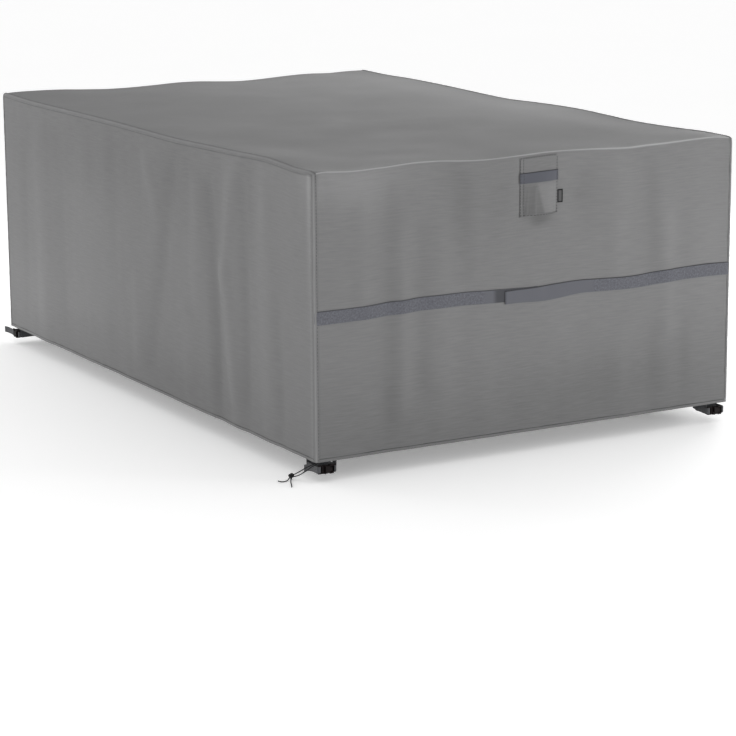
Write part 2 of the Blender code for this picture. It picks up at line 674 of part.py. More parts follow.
def box_object(name, low, high, finish, collection):
    bm = bmesh.new()
    box(bm, low, high)
    return add_object(name, bm, finish, collection)


def combine(thing, other, operation):
    """Join another object to this one, or cut it out of it."""
    step = thing.modifiers.new(operation.lower(), "BOOLEAN")
    step.object = other
    step.operation = operation


def tool(name, low, high, cutters):
    """A hidden box that is joined to a piece or cut out of it."""
    thing = box_object(name, low, high, "plastic", cutters)
    thing.hide_render = True
    thing.display_type = "WIRE"
    return thing


def soften(thing):
    """Break the long edges of a moulded piece."""
    step = thing.modifiers.new("softened edges", "BEVEL")
    step.width = BUCKLE_BEVEL
    step.segments = 1
    step.limit_method = "ANGLE"
    step.angle_limit = radians(50)


def build_buckle(label, collection, cutters):
    """A side-release buckle on the -Y face of the empty square: a plug from -X, a socket from +X."""
    back = -(SQUARE_HALF_Y + WEBBING + GAP)
    middle = WEBBING_MIDDLE
    low = middle - BUCKLE_HALF
    high = middle + BUCKLE_HALF
    plug_start = -SQUARE_HALF_X - PLUG_OVERHANG
    joint = plug_start + PLUG_LENGTH
    socket_stop = joint + GAP + SOCKET_LENGTH
    bar_stop = socket_stop + SOCKET_BAR
    prong_y = back - SOCKET_THICK / 2
    through = (back - CUT_REACH, back + CUT_REACH)

    socket = box_object(
        f"buckle_{label}_socket", (joint + GAP, back - SOCKET_THICK, low), (socket_stop, back, high),
        "plastic", collection,
    )
    soften(socket)
    bar = tool(
        f"bar_{label}", (socket_stop - JOINT_OVERLAP, back - SOCKET_BAR_THICK, low + BAR_INSET),
        (bar_stop, back - BAR_SETBACK, high - BAR_INSET), cutters,
    )
    combine(socket, bar, "UNION")
    slot = tool(
        f"socket_slot_{label}", (socket_stop + SLOT_START, through[0], middle - SLOT_HALF),
        (bar_stop - BAR_WIDTH, through[1], middle + SLOT_HALF), cutters,
    )
    combine(socket, slot, "DIFFERENCE")

    plug = box_object(
        f"buckle_{label}_plug", (plug_start, back - PLUG_THICK, low), (joint, back, high),
        "plastic", collection,
    )
    soften(plug)
    plug_slot = tool(
        f"plug_slot_{label}", (plug_start + BAR_WIDTH, through[0], middle - SLOT_HALF),
        (plug_start + BAR_WIDTH + SLOT_LENGTH, through[1], middle + SLOT_HALF), cutters,
    )
    combine(plug, plug_slot, "DIFFERENCE")

    notch_half = PRONG_HALF + 2 * GAP
    for side in (-1, 1):
        edge = middle + side * BUCKLE_HALF
        notch_low, notch_high = sorted((edge + side * NOTCH_REACH, edge - side * NOTCH_DEPTH))
        notch = tool(
            f"notch_{label}_{side}", (joint - NOTCH_MARGIN, prong_y - notch_half, notch_low),
            (joint + PRONG_LENGTH + NOTCH_MARGIN, prong_y + notch_half, notch_high), cutters,
        )
        combine(socket, notch, "DIFFERENCE")
        prong_low, prong_high = sorted(
            (edge - side * PRONG_INSET, edge - side * (NOTCH_DEPTH - PRONG_SLACK))
        )
        prong = tool(
            f"prong_{label}_{side}", (joint - PRONG_ROOT, prong_y - PRONG_HALF, prong_low),
            (joint + PRONG_LENGTH, prong_y + PRONG_HALF, prong_high), cutters,
        )
        combine(plug, prong, "UNION")


def hanger_rows(side_x, side_y, square_width, swapped):
    """An angle of webbing: a flange inside one wall, and a tongue down to the webbing.

    The rows run in the corner's own directions, out along each wall from the cover's corner.
    """
    wall = CLOTH + GAP + WEBBING / 2
    face = SQUARE_INSET + square_width + WEBBING + GAP + WEBBING / 2
    tongue = SQUARE_INSET
    low = WEBBING_MIDDLE - WEBBING_HALF
    plan = [
        (face + HANGER_FLANGE, wall, HANGER_HEM), (face + HANGER_TURN, wall, HANGER_HEM),
        (face, wall + HANGER_TURN, HANGER_HEM), (face, tongue, HANGER_HEM),
        (face, tongue + HANGER_SHOULDER, low), (face, tongue + HANGER_TONGUE, low),
    ]
    rows = []
    for away, depth, bottom in plan:
        along, across = (depth, away) if swapped else (away, depth)
        rows.append((side_x * (HALF_X - along), side_y * (HALF_Y - across), bottom, HANGER_TOP))
    return rows


def build_corner(corner, collection, cutters):
    """The webbing, buckle, free tail and two hangers of one corner."""
    half_x, half_y = SQUARE_HALF_X, SQUARE_HALF_Y
    if abs(corner.turn) == 90.0:
        half_x, half_y = half_y, half_x
    centre_x = corner.side_x * (HALF_X - SQUARE_INSET - half_x)
    centre_y = corner.side_y * (HALF_Y - SQUARE_INSET - half_y)
    holder = bpy.data.objects.new(f"corner_{corner.name}", None)
    collection.objects.link(holder)
    before = set(bpy.data.objects)
    ribbon(f"webbing_{corner.name}", loop_rows(), "webbing", collection)
    ribbon(f"tail_{corner.name}", tail_rows(corner.tail), "webbing", collection)
    build_buckle(corner.name, collection, cutters)
    for thing in set(bpy.data.objects) - before:
        thing.parent = holder
    holder.location = (centre_x, centre_y, 0.0)
    holder.rotation_euler = (0.0, 0.0, radians(corner.turn))
    for letter, square_width, swapped in (("a", 2 * half_x, False), ("b", 2 * half_y, True)):
        rows = hanger_rows(corner.side_x, corner.side_y, square_width, swapped)
        ribbon(f"hanger_{corner.name}_{letter}", rows, "webbing", collection)


# ---------------------------------------------------------------- drawcord
def cord(name, points, collection):
    """A round cord as a curve through a smooth route."""
    curve = bpy.data.curves.new(name, "CURVE")
    curve.dimensions = "3D"
    curve.bevel_depth = CORD_RADIUS
    curve.bevel_resolution = 2
    curve.use_fill_caps = True
    placed = spline_points(points, CORD_STEP)
    spline = curve.splines.new("POLY")
    spline.points.add(len(placed) - 1)
    for point, place in zip(spline.points, placed):
        point.co = (*place, 1.0)
    curve.materials.append(finish_material("cord"))
    thing = bpy.data.objects.new(name, curve)
    collection.objects.link(thing)


def build_drawcord(collection):
    cord("cord_strand_1", FIRST_STRAND, collection)
    cord("cord_strand_2", SECOND_STRAND, collection)
    cord("cord_tail_1", FIRST_TAIL, collection)
    cord("cord_tail_2", SECOND_TAIL, collection)
    bm = bmesh.new()
    tall = Matrix.Diagonal((1.0, 1.0, KNOT_STRETCH, 1.0))
    bmesh.ops.create_icosphere(bm, subdivisions=2, radius=KNOT_RADIUS, matrix=tall)
    add_object("cord_knot", bm, "cord", collection).location = KNOT_PLACE


def main():
    clear_scene()
    collection = new_collection("patio furniture cover")
    cutters = new_collection("cutters")
    shell = hang_shell()
    build_panels(shell, collection)
    build_strap(shell, collection)
    build_vent(shell, collection)
    shell.free()
    for corner in CORNERS:
        build_corner(corner, collection, cutters)
    build_drawcord(collection)


main()
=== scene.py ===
"""How the fitted cloth cover looks: an open box of grey canvas with a strap, a vent and tied corners.

Metres, +Z up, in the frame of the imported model. The origin is the middle of the roof's underside.
The short wall with the vent faces -Y. Each sewn piece is a thin sheet on its solid's folds: two
surfaces give its place on the flat, boxy cover, and the drape gives how the cover hangs.
"""
import logging
from dataclasses import dataclass, field
from enum import Enum
from math import cos, pi, radians, sin
from typing import Callable, Mapping, NamedTuple, Sequence, TypeVar

import bmesh
import bpy
import numpy as np
from mathutils import Matrix, Vector


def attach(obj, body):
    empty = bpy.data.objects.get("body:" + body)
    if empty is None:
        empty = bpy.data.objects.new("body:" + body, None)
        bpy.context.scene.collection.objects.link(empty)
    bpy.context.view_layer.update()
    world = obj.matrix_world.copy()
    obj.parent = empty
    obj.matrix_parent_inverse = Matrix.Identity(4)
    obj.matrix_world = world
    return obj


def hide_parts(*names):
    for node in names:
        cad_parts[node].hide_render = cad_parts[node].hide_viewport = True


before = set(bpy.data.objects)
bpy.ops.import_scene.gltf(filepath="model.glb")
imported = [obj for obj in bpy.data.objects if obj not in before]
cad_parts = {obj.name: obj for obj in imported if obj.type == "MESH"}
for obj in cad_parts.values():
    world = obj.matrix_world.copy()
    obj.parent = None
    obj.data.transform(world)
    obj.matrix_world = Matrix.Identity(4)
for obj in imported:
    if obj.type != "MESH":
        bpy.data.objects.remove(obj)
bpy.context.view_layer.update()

log = logging.getLogger("cover")
MM = 0.001
BODY = "root"
UV_NAME = "cloth"
SHADING_NAME = "painted_shading"
Array = np.ndarray
Piece = bpy.types.Object
Finish = bpy.types.Material
Socket = bpy.types.NodeSocket
Colour = tuple[float, float, float]
Point = tuple[float, float, float]
Row = TypeVar("Row")
WHITE: Colour = (1.0, 1.0, 1.0)
FORWARD = (0, -1, 0)
PAST_ALL = 10.0
SEAM_PUCKER_REACH = 0.014


# ---------------------------------------------------------------- sizes of the whole cover
@dataclass(frozen=True)
class CoverForm:
    """Driving sizes of the cover, as it hangs."""

    width: float = 1.413
    length: float = 2.200
    height: float = 0.805
    top_z: float = 0.002
    fold_radius: float = 0.0060
    seam_turn: float = 0.009

    @property
    def half_x(self) -> float:
        """Half the width."""
        return self.width / 2

    @property
    def half_y(self) -> float:
        """Half the length."""
        return self.length / 2

    @property
    def hem_z(self) -> float:
        """Height of the hems' lower edge."""
        return self.top_z - self.height

    @property
    def seam_x(self) -> float:
        """Where the roof meets the raised seam."""
        return self.half_x - self.seam_turn

    @property
    def wall(self) -> float:
        """Straight part of an end wall, from its hem to the fold under the roof."""
        return self.height - self.fold_radius

    @property
    def fold(self) -> float:
        """Length of cloth in the fold between an end wall and the roof."""
        return pi / 2 * self.fold_radius

    @property
    def over_top(self) -> float:
        """Length of the main panel, from hem to hem over the roof."""
        return 2 * self.wall + 2 * self.fold + self.length - 2 * self.fold_radius


FORM = CoverForm()


class Wave(NamedTuple):
    """A place along an edge and how far the edge rises there."""

    at: float
    rise_mm: float


class Fold(NamedTuple):
    """A fold of a wall from its upper end to its lower end. It stands out (+) or in (-)."""

    top_at: float
    top_z: float
    low_at: float
    low_z: float
    half_width: float
    top_mm: float
    low_mm: float


class Patch(NamedTuple):
    """A soft patch of painted light (+) or painted shade (-), where the cloth is paler or darker than the
    rest of its face.

    It is placed by x and y on the roof, by x and z on an end wall, and by y and z on a long wall.
    """

    along: float
    up: float
    half_along: float
    half_up: float
    change: float


class Swell(NamedTuple):
    """A soft hill (+) or hollow (-) of the roof."""

    x: float
    y: float
    half_x: float
    half_y: float
    rise_mm: float


def rows_of(kind: Callable[..., Row], rows: Sequence[Sequence[float]]) -> tuple[Row, ...]:
    """Rows of numbers as entries of one kind."""
    return tuple(kind(*row) for row in rows)


FRONT_EDGE = rows_of(Wave, (
    (-0.705, 0.5), (-0.6, -4.5), (-0.49, 1.0), (-0.39, 6.0), (-0.31, 5.0), (-0.235, 0.0), (-0.155, -3.0),
    (-0.04, 0.0), (0.05, 3.5), (0.17, 2.0), (0.255, -2.0), (0.325, -5.0), (0.395, -3.0), (0.48, -0.5),
    (0.57, 3.5), (0.645, 5.0), (0.705, 0.0),
))
BACK_EDGE = rows_of(Wave, (
    (-0.705, 4.0), (-0.62, 4.5), (-0.51, 2.0), (-0.41, -4.5), (-0.32, -8.5), (-0.245, -9.0),
    (-0.145, -6.0), (-0.04, -2.0), (0.035, -3.5), (0.115, -8.5), (0.205, -12.5), (0.29, -10.5),
    (0.36, -7.0), (0.465, -3.0), (0.57, -3.5), (0.64, 0.0), (0.705, 0.5),
))
LEFT_EDGE = rows_of(Wave, (
    (-1.0975, 4.5), (-1.05, 2.5), (-0.985, 2.5), (-0.91, 7.0), (-0.835, 10.5), (-0.755, 9.5), (-0.6, 5.0),
    (-0.435, 1.5), (-0.265, -2.5), (-0.09, -2.0), (0.1, -0.5), (0.29, 0.0), (0.49, -0.5), (0.69, -2.0),
    (0.91, -2.5), (1.0975, -2.0),
))
RIGHT_EDGE = rows_of(Wave, (
    (-1.0975, -2.0), (-0.98, -0.5), (-0.855, -4.0), (-0.73, -7.0), (-0.6, -8.0), (-0.465, -5.0),
    (-0.33, -2.5), (-0.19, -3.5), (-0.04, -7.0), (0.105, -11.5), (0.26, -10.0), (0.42, -7.0),
    (0.585, -4.5), (0.75, -3.5), (0.925, -5.5), (1.0975, -3.5),
))
STRAP_PULL = rows_of(Wave, (
    (-0.705, 1.5), (-0.54, 4.0), (-0.38, 8.0), (-0.22, 10.0), (-0.115, 6.5), (0.02, 2.0), (0.135, 6.0),
    (0.245, 3.5), (0.365, 1.5), (0.48, 7.0), (0.6, 9.0), (0.705, 8.0),
))
ROOF_SWELLS = rows_of(Swell, (
    (0.31, 0.44, 0.2, 0.26, 4.0), (0.49, -0.23, 0.16, 0.22, 4.0), (-0.17, 0.58, 0.2, 0.24, 4.0),
    (-0.44, -0.71, 0.18, 0.24, -5.0), (-0.37, 0.05, 0.16, 0.3, -5.0), (0.16, -0.6, 0.2, 0.22, 2.5),
))
FRONT_FOLDS = rows_of(Fold, (
    (-0.6, -0.03, -0.585, -0.15, 0.06, 4.0, 3.0), (-0.615, -0.12, -0.612, -0.37, 0.032, -3.5, -3.5),
    (-0.555, -0.04, -0.553, -0.41, 0.028, 4.5, 3.5), (-0.47, -0.06, -0.474, -0.803, 0.032, -4.0, -9.0),
    (-0.428, -0.2, -0.424, -0.67, 0.026, 3.5, 5.5), (-0.372, -0.2, -0.366, -0.62, 0.028, -3.5, -4.5),
    (-0.297, -0.09, -0.29, -0.72, 0.04, 3.0, 4.0), (-0.235, -0.02, -0.228, -0.31, 0.034, -4.5, -3.0),
    (-0.16, -0.42, -0.14, -0.803, 0.05, 2.0, 4.0), (0.177, -0.07, 0.18, -0.19, 0.044, -4.5, -3.5),
    (0.06, -0.46, 0.08, -0.74, 0.1, 3.0, 3.0), (0.305, -0.02, 0.3, -0.36, 0.042, 4.5, 4.0),
    (0.315, -0.56, 0.32, -0.803, 0.042, 3.0, 5.0), (0.403, -0.03, 0.42, -0.37, 0.032, -5.5, -4.0),
    (0.42, -0.56, 0.424, -0.803, 0.034, -3.5, -6.5), (0.475, -0.23, 0.48, -0.54, 0.03, 4.0, 4.0),
    (0.536, -0.54, 0.542, -0.803, 0.032, -3.0, -5.5), (0.608, -0.06, 0.606, -0.37, 0.036, 4.0, 3.0),
))
LEFT_FOLDS = rows_of(Fold, (
    (0.8, -0.03, 0.78, -0.803, 0.055, 3.5, 7.0), (0.93, -0.2, 0.945, -0.803, 0.05, -2.0, -4.0),
    (0.64, -0.1, 0.61, -0.803, 0.06, -2.0, -4.5), (0.4, -0.26, 0.38, -0.62, 0.17, 4.0, 4.0),
    (0.2, -0.06, 0.23, -0.803, 0.05, -2.5, -4.0), (-0.035, -0.08, -0.085, -0.21, 0.036, 5.0, 3.0),
    (-0.24, -0.02, -0.055, -0.7, 0.05, -5.5, -5.0), (0.05, -0.48, 0.052, -0.73, 0.04, 3.0, 4.5),
    (-0.38, -0.13, -0.37, -0.45, 0.044, 4.5, 3.5), (-0.3, -0.52, -0.31, -0.803, 0.06, 2.0, 4.5),
    (-0.47, -0.12, -0.514, -0.803, 0.036, -4.0, -9.0), (-0.615, -0.03, -0.555, -0.36, 0.034, 5.5, 5.5),
    (-0.555, -0.36, -0.634, -0.803, 0.034, 5.5, 10.0), (-0.68, -0.04, -0.698, -0.803, 0.034, -4.5, -7.0),
    (-0.81, -0.04, -0.832, -0.803, 0.048, 4.0, 6.0), (-0.89, -0.43, -0.902, -0.803, 0.034, -3.0, -6.0),
))
BACK_FOLDS = rows_of(Fold, (
    (-0.5, -0.04, -0.52, -0.803, 0.07, 3.0, 7.0), (-0.33, -0.05, -0.3, -0.803, 0.08, -4.0, -7.0),
    (-0.06, -0.1, -0.09, -0.803, 0.09, 3.0, 5.0), (0.19, -0.03, 0.21, -0.803, 0.08, -5.0, -8.0),
    (0.39, -0.08, 0.36, -0.803, 0.07, 4.0, 6.0), (0.52, -0.2, 0.53, -0.803, 0.06, -2.0, -5.0),
))
RIGHT_FOLDS = rows_of(Fold, (
    (-0.86, -0.05, -0.88, -0.803, 0.09, 3.0, 6.0), (-0.61, -0.03, -0.64, -0.803, 0.09, -4.5, -8.0),
    (-0.38, -0.06, -0.35, -0.803, 0.09, 4.0, 7.0), (-0.11, -0.15, -0.13, -0.803, 0.09, -2.0, -5.0),
    (0.15, -0.03, 0.19, -0.803, 0.1, -4.0, -6.0), (0.43, -0.05, 0.4, -0.803, 0.1, 4.0, 7.0),
    (0.69, -0.08, 0.72, -0.803, 0.09, -3.0, -6.0), (0.88, -0.2, 0.86, -0.803, 0.08, 2.0, 5.0),
))
# Patches of painted light and shade on the roof, the front wall and the left wall. On the front wall one is a
# painted shadow under the vent's hood and one painted shade beside the tab.
ROOF_SHADING_PATCHES = rows_of(Patch, (
    (-0.02, -0.35, 0.3, 0.42, -0.16), (0.45, 0.82, 0.35, 0.35, 0.18), (-0.05, 0.85, 0.18, 0.25, 0.1),
    (0.6, -0.28, 0.16, 0.42, 0.46), (0.64, 0.45, 0.16, 0.35, 0.26), (-0.55, -1.09, 0.18, 0.05, 0.24),
    (0.45, -1.02, 0.26, 0.14, 0.24), (0.45, -1.1, 0.3, 0.02, 0.4), (0.38, -0.28, 0.13, 0.28, 0.18),
    (-0.5, -0.42, 0.2, 0.2, -0.11),
))
FRONT_SHADING_PATCHES = rows_of(Patch, (
    (-0.58, -0.02, 0.16, 0.08, 0.26), (-0.25, -0.11, 0.055, 0.13, -0.12),
    (-0.11, -0.11, 0.06, 0.12, -0.09), (0.47, -0.26, 0.035, 0.13, 0.07), (0.64, -0.32, 0.05, 0.18, 0.07),
    (0.25, -0.68, 0.25, 0.08, -0.09), (0.026, -0.189, 0.036, 0.018, -0.27),
    (0.165, -0.125, 0.03, 0.035, -0.09),
))
LEFT_SHADING_PATCHES = rows_of(Patch, (
    (0.25, -0.07, 0.75, 0.14, -0.12), (-0.35, -0.14, 0.2, 0.16, -0.06), (0.93, -0.15, 0.22, 0.24, -0.07),
    (-0.5, -0.38, 0.035, 0.4, -0.08), (-0.72, -0.13, 0.035, 0.16, -0.1), (0.98, -0.68, 0.22, 0.16, 0.15),
    (0.55, -0.6, 0.25, 0.14, 0.06), (0.26, -0.52, 0.06, 0.16, 0.06), (-0.25, -0.74, 0.35, 0.08, -0.1),
    (-1.06, -0.02, 0.05, 0.06, 0.12), (-1.073, -0.1, 0.012, 0.2, 0.2), (0.6, -0.68, 0.5, 0.16, 0.08),
    (0.3, -0.15, 0.75, 0.22, -0.05),
))


# ---------------------------------------------------------------- number helpers
def ease(value: Array | float) -> Array:
    """Smooth step from 0 to 1."""
    value = np.clip(value, 0.0, 1.0)
    return value * value * (3.0 - 2.0 * value)


def bell(distance: Array, half_width: float) -> Array:
    """A soft hump that is 1 where the distance is 0."""
    return np.exp(-(distance / half_width) ** 2)


def smooth_wave(table: Sequence[Wave], at: Array) -> Array:
    """Height of a waving edge on a smooth curve through the rows of its table.

    Args:
        table: the rows, in order along the edge.
        at: places along the edge.

    Returns:
        Heights in metres, one for each place. Past its ends the edge keeps its last height.
    """
    places, rises = np.array(table).T
    rises = rises * MM
    slopes = np.gradient(rises, places)
    at = np.clip(at, places[0], places[-1])
    row = np.clip(np.searchsorted(places, at) - 1, 0, len(places) - 2)
    span = places[row + 1] - places[row]
    share = (at - places[row]) / span
    turned = 1.0 - share
    return (
        rises[row] * (1 + 2 * share) * turned ** 2 + slopes[row] * span * share * turned ** 2
        + rises[row + 1] * share ** 2 * (3 - 2 * share) - slopes[row + 1] * span * share ** 2 * turned
    )


def unevenness(x: Array, y: Array, cell_x: float, cell_y: float, seed: int) -> Array:
    """Smooth random numbers from -1 to 1, about one hump to a cell.

    Args:
        x, y: places on the cloth.
        cell_x, cell_y: size of a cell.
        seed: makes each use of its own, and the same in every run.

    Returns:
        One number for each place.
    """
    size, start = 128, 40.0
    lattice = np.random.default_rng(seed).uniform(-1.0, 1.0, (size, size))
    u, v = x / cell_x + start, y / cell_y + start
    column, row = np.floor(u).astype(int), np.floor(v).astype(int)
    across, up = ease(u - column), ease(v - row)
    left, right, low, high = column % size, (column + 1) % size, row % size, (row + 1) % size
    below = lattice[left, low] * (1 - across) + lattice[right, low] * across
    above = lattice[left, high] * (1 - across) + lattice[right, high] * across
    return below * (1 - up) + above * up


class Grain(NamedTuple):
    """Small smooth hills and hollows: their height, the size of a cell and a seed."""

    height: float
    cell_x: float
    cell_y: float
    seed: int

    def at(self, x: Array, y: Array) -> Array:
        """Height at places on the cloth."""
        return self.height * unevenness(x, y, self.cell_x, self.cell_y, self.seed)


class Ridge(NamedTuple):
    """A soft ridge (+) or groove (-): its height and half width."""

    height: float
    half: float

    def at(self, distance: Array) -> Array:
        """Height at distances from its middle."""
        return self.height * bell(distance, self.half)


def spaced(start: float, stop: float, step: float) -> Array:
    """Places from a start up to, and without, a stop, about a step apart."""
    count = max(1, round(abs(stop - start) / step))
    return np.linspace(start, stop, count, endpoint=False)


def spline(points: Sequence[Sequence[float]], step: float) -> Array:
    """Points about a step apart on a smooth curve through the given ones.

    Args:
        points: the route's own points.
        step: distance between two points of the result.

    Returns:
        An array with a row for each point.
    """
    route = np.array(points, dtype=float)
    ends = np.vstack([2 * route[0] - route[1], route, 2 * route[-1] - route[-2]])
    placed = [route[0]]
    for before, start, stop, after in zip(ends, ends[1:], ends[2:], ends[3:]):
        pieces = max(1, round(float(np.linalg.norm(stop - start)) / step))
        for t in np.arange(1, pieces + 1) / pieces:
            placed.append(0.5 * (
                2 * start + (stop - before) * t
                + (2 * before - 5 * start + 4 * stop - after) * t * t
                + (3 * start - before - 3 * stop + after) * t ** 3
            ))
    return np.array(placed)


def way(route: Array) -> Array:
    """Length of the way at each point of a route."""
    steps = np.linalg.norm(np.diff(route, axis=0), axis=1)
    return np.concatenate([[0.0], np.cumsum(steps)])


def away_from_seam(distance: Array) -> Array:
    """0 beside a seam, which holds the cloth flat, and 1 away from it."""
    return ease((distance - 0.004) / 0.030)


def tape_crown(across: Array, half: float) -> Array:
    """How much a tape's selvedges lie below its middle."""
    return -0.5 * MM * ease((np.abs(across) - half * 0.75) / (half * 0.25))


# ---------------------------------------------------------------- how the cloth hangs
@dataclass(frozen=True)
class Drape:
    """How the boxy cover hangs: waves of its top edges, swells of its roof and folds of its walls."""

    form: CoverForm = FORM
    roof_reach: float = 0.26
    wall_reach: float = 0.55
    top_fade: float = 0.13
    corner_calm: float = 0.085
    corner_blend: float = 0.100
    fold_end_fade: float = 0.070
    hem_calm: float = 0.7
    hem_reach: float = 0.16
    wall_depth: float = 0.030
    pull_middle: float = -0.400
    pull_half: float = 0.020
    pull_fade: float = 0.100
    pull_reach: float = 0.250
    # Painted light and shade: how it fades in below the roof's edge, and its gain over the folds' height.
    shading_fade: float = 0.040
    fold_shading_gain: float = 11.0
    corner_across: float = 0.026
    corner_round: float = 0.0130
    near_round: float = 0.0180
    corner_push: Point = (-0.0010, -0.0014, -0.0012)
    near_push: Point = (-0.0036, -0.0064, -0.0062)

    def roof_rise(self, x: Array, y: Array) -> Array:
        """Height of the roof over its rest plane."""
        half_x, half_y = self.form.half_x, self.form.half_y
        rise = np.zeros_like(x)
        for edge, along, inwards in (
            (FRONT_EDGE, x, y + half_y), (BACK_EDGE, x, half_y - y),
            (LEFT_EDGE, y, x + half_x), (RIGHT_EDGE, y, half_x - x),
        ):
            rise += smooth_wave(edge, along) * (1 - ease(inwards / self.roof_reach))
        for swell in ROOF_SWELLS:
            hump = bell(x - swell.x, swell.half_x) * bell(y - swell.y, swell.half_y)
            rise += swell.rise_mm * MM * hump
        return rise

    def fold_stand(self, folds: Sequence[Fold], along: Array, z: Array) -> Array:
        """How far a wall stands out at places along it and at heights."""
        total = np.zeros_like(along)
        for fold in folds:
            inside = np.clip((fold.top_z - z) / (fold.top_z - fold.low_z), 0.0, 1.0)
            middle = fold.top_at + (fold.low_at - fold.top_at) * inside
            stand = fold.top_mm + (fold.low_mm - fold.top_mm) * inside
            beyond = np.maximum(np.maximum(z - fold.top_z, fold.low_z - z), 0.0)
            fade = 1 - ease(beyond / self.fold_end_fade)
            total += stand * bell(along - middle, fold.half_width) * fade
        calmed = 1 - self.hem_calm * (1 - ease((z - self.form.hem_z) / self.hem_reach))
        return total * calmed * MM

    def strap_pull(self, x: Array, y: Array, z: Array) -> Array:
        """How far the cloth beside the strap is pulled up."""
        share = 1 - ease((np.abs(z - self.pull_middle) - self.pull_half) / self.pull_fade)
        reach = 1 - ease((y + self.form.half_y) / self.pull_reach)
        return smooth_wave(STRAP_PULL, x) * share * reach

    def calm(self, along: Array, half: float) -> Array:
        """0 beside a corner, where the seam holds the wall straight, and 1 away from it."""
        return ease((half - np.abs(along) - self.corner_calm) / self.corner_blend)

    def walls(self, x: Array, y: Array) -> tuple[tuple[Sequence[Fold], Array, Array, float, int, int], ...]:
        """The four walls.

        Args:
            x, y: places on the boxy cover.

        Returns:
            For each wall its folds, which places are on it, the places along it, half its length,
            and the axis and sense in which it stands out.
        """
        form = self.form
        past_x, past_y = form.half_x - self.wall_depth, form.half_y - self.wall_depth
        return (
            (FRONT_FOLDS, y < -past_y, x, form.half_x, 1, -1), (BACK_FOLDS, y > past_y, x, form.half_x, 1, 1),
            (LEFT_FOLDS, x < -past_x, y, form.half_y, 0, -1), (RIGHT_FOLDS, x > past_x, y, form.half_y, 0, 1),
        )

    def tone_shift(self, flat: Array) -> Array:
        """How much paler or darker the cloth is at points of the boxy cover.

        Crests of folds are painted paler and their hollows darker, as painted light and shade, and soft
        patches of painted light and shade lie over both.

        Args:
            flat: points on the boxy cover, in the last axis of the array.

        Returns:
            A change of tone for each point: 0.1 is a tenth paler.
        """
        x, y, z = flat[..., 0], flat[..., 1], flat[..., 2]
        form = self.form
        fade = ease((form.top_z - z) / self.shading_fade)
        walls = self.walls(x, y)
        total = np.zeros_like(x)
        for folds, on_wall, along, half, _, _ in walls:
            stand = self.fold_stand(folds, along, z) * on_wall * fade * self.calm(along, half)
            total += stand * self.fold_shading_gain
        low = z < form.top_z - form.fold_radius
        front, left = walls[0][1] & low, walls[2][1] & low
        for patches, on_face, along, up in (
            (ROOF_SHADING_PATCHES, ~low, x, y), (FRONT_SHADING_PATCHES, front, x, z), (LEFT_SHADING_PATCHES, left, y, z),
        ):
            for patch in patches:
                hump = bell(along - patch.along, patch.half_along) * bell(up - patch.up, patch.half_up)
                total += patch.change * hump * on_face
        return total

    def hang(self, flat: Array) -> Array:
        """Where points of the boxy cover come to rest.

        Args:
            flat: points on the boxy cover, in the last axis of the array.

        Returns:
            The points of the hanging cover, in the same shape.
        """
        x, y, z = flat[..., 0], flat[..., 1], flat[..., 2]
        form = self.form
        down = form.top_z - z
        fade = ease(down / self.top_fade)
        hung = flat.copy()
        hung[..., 2] += self.roof_rise(x, y) * (1 - ease(down / self.wall_reach))
        hung[..., 2] += self.strap_pull(x, y, z)
        for folds, on_wall, along, half, axis, sense in self.walls(x, y):
            stand = self.fold_stand(folds, along, z) * on_wall * fade * self.calm(along, half)
            hung[..., axis] += sense * stand
        near = (x < 0.0) & (y < 0.0)
        reach = np.where(near, self.near_round, self.corner_round)
        tip = bell(form.half_x - np.abs(x), self.corner_across)
        tip = tip * bell(form.half_y - np.abs(y), reach) * bell(down, reach)
        push = np.where(near[..., None], self.near_push, self.corner_push)
        push = push * np.stack([np.sign(x), np.sign(y), np.ones_like(z)], axis=-1)
        return hung + tip[..., None] * push


DRAPE = Drape()


class Surface:
    """A face of the cover, addressed by two lengths that are measured on the flat cloth."""

    sense = 1.0
    probe = 0.5 * MM

    def flat(self, a: Array, b: Array) -> Array:
        """Points of the boxy cover."""
        raise NotImplementedError

    def hung(self, a: Array, b: Array) -> Array:
        """Points of the hanging cover's outer face."""
        return DRAPE.hang(self.flat(a, b))

    def outward(self, a: Array, b: Array) -> Array:
        """The way out of the hanging cover, from the slopes on both sides of each point."""
        across = self.hung(a + self.probe, b) - self.hung(a - self.probe, b)
        along = self.hung(a, b + self.probe) - self.hung(a, b - self.probe)
        normal = np.cross(across, along) * self.sense
        return normal / np.linalg.norm(normal, axis=-1, keepdims=True)

    def place(self, a: Array, b: Array, stand: Array | float) -> Array:
        """Points that stand a distance out from the hanging cover's outer face.

        Args:
            a, b: the two lengths on the flat cloth, as arrays of one shape.
            stand: how far out the points lie, in metres. Below 0 they lie inside.

        Returns:
            The points, in one more axis.
        """
        distance = np.broadcast_to(stand, np.shape(a))[..., None]
        return self.hung(a, b) + self.outward(a, b) * distance


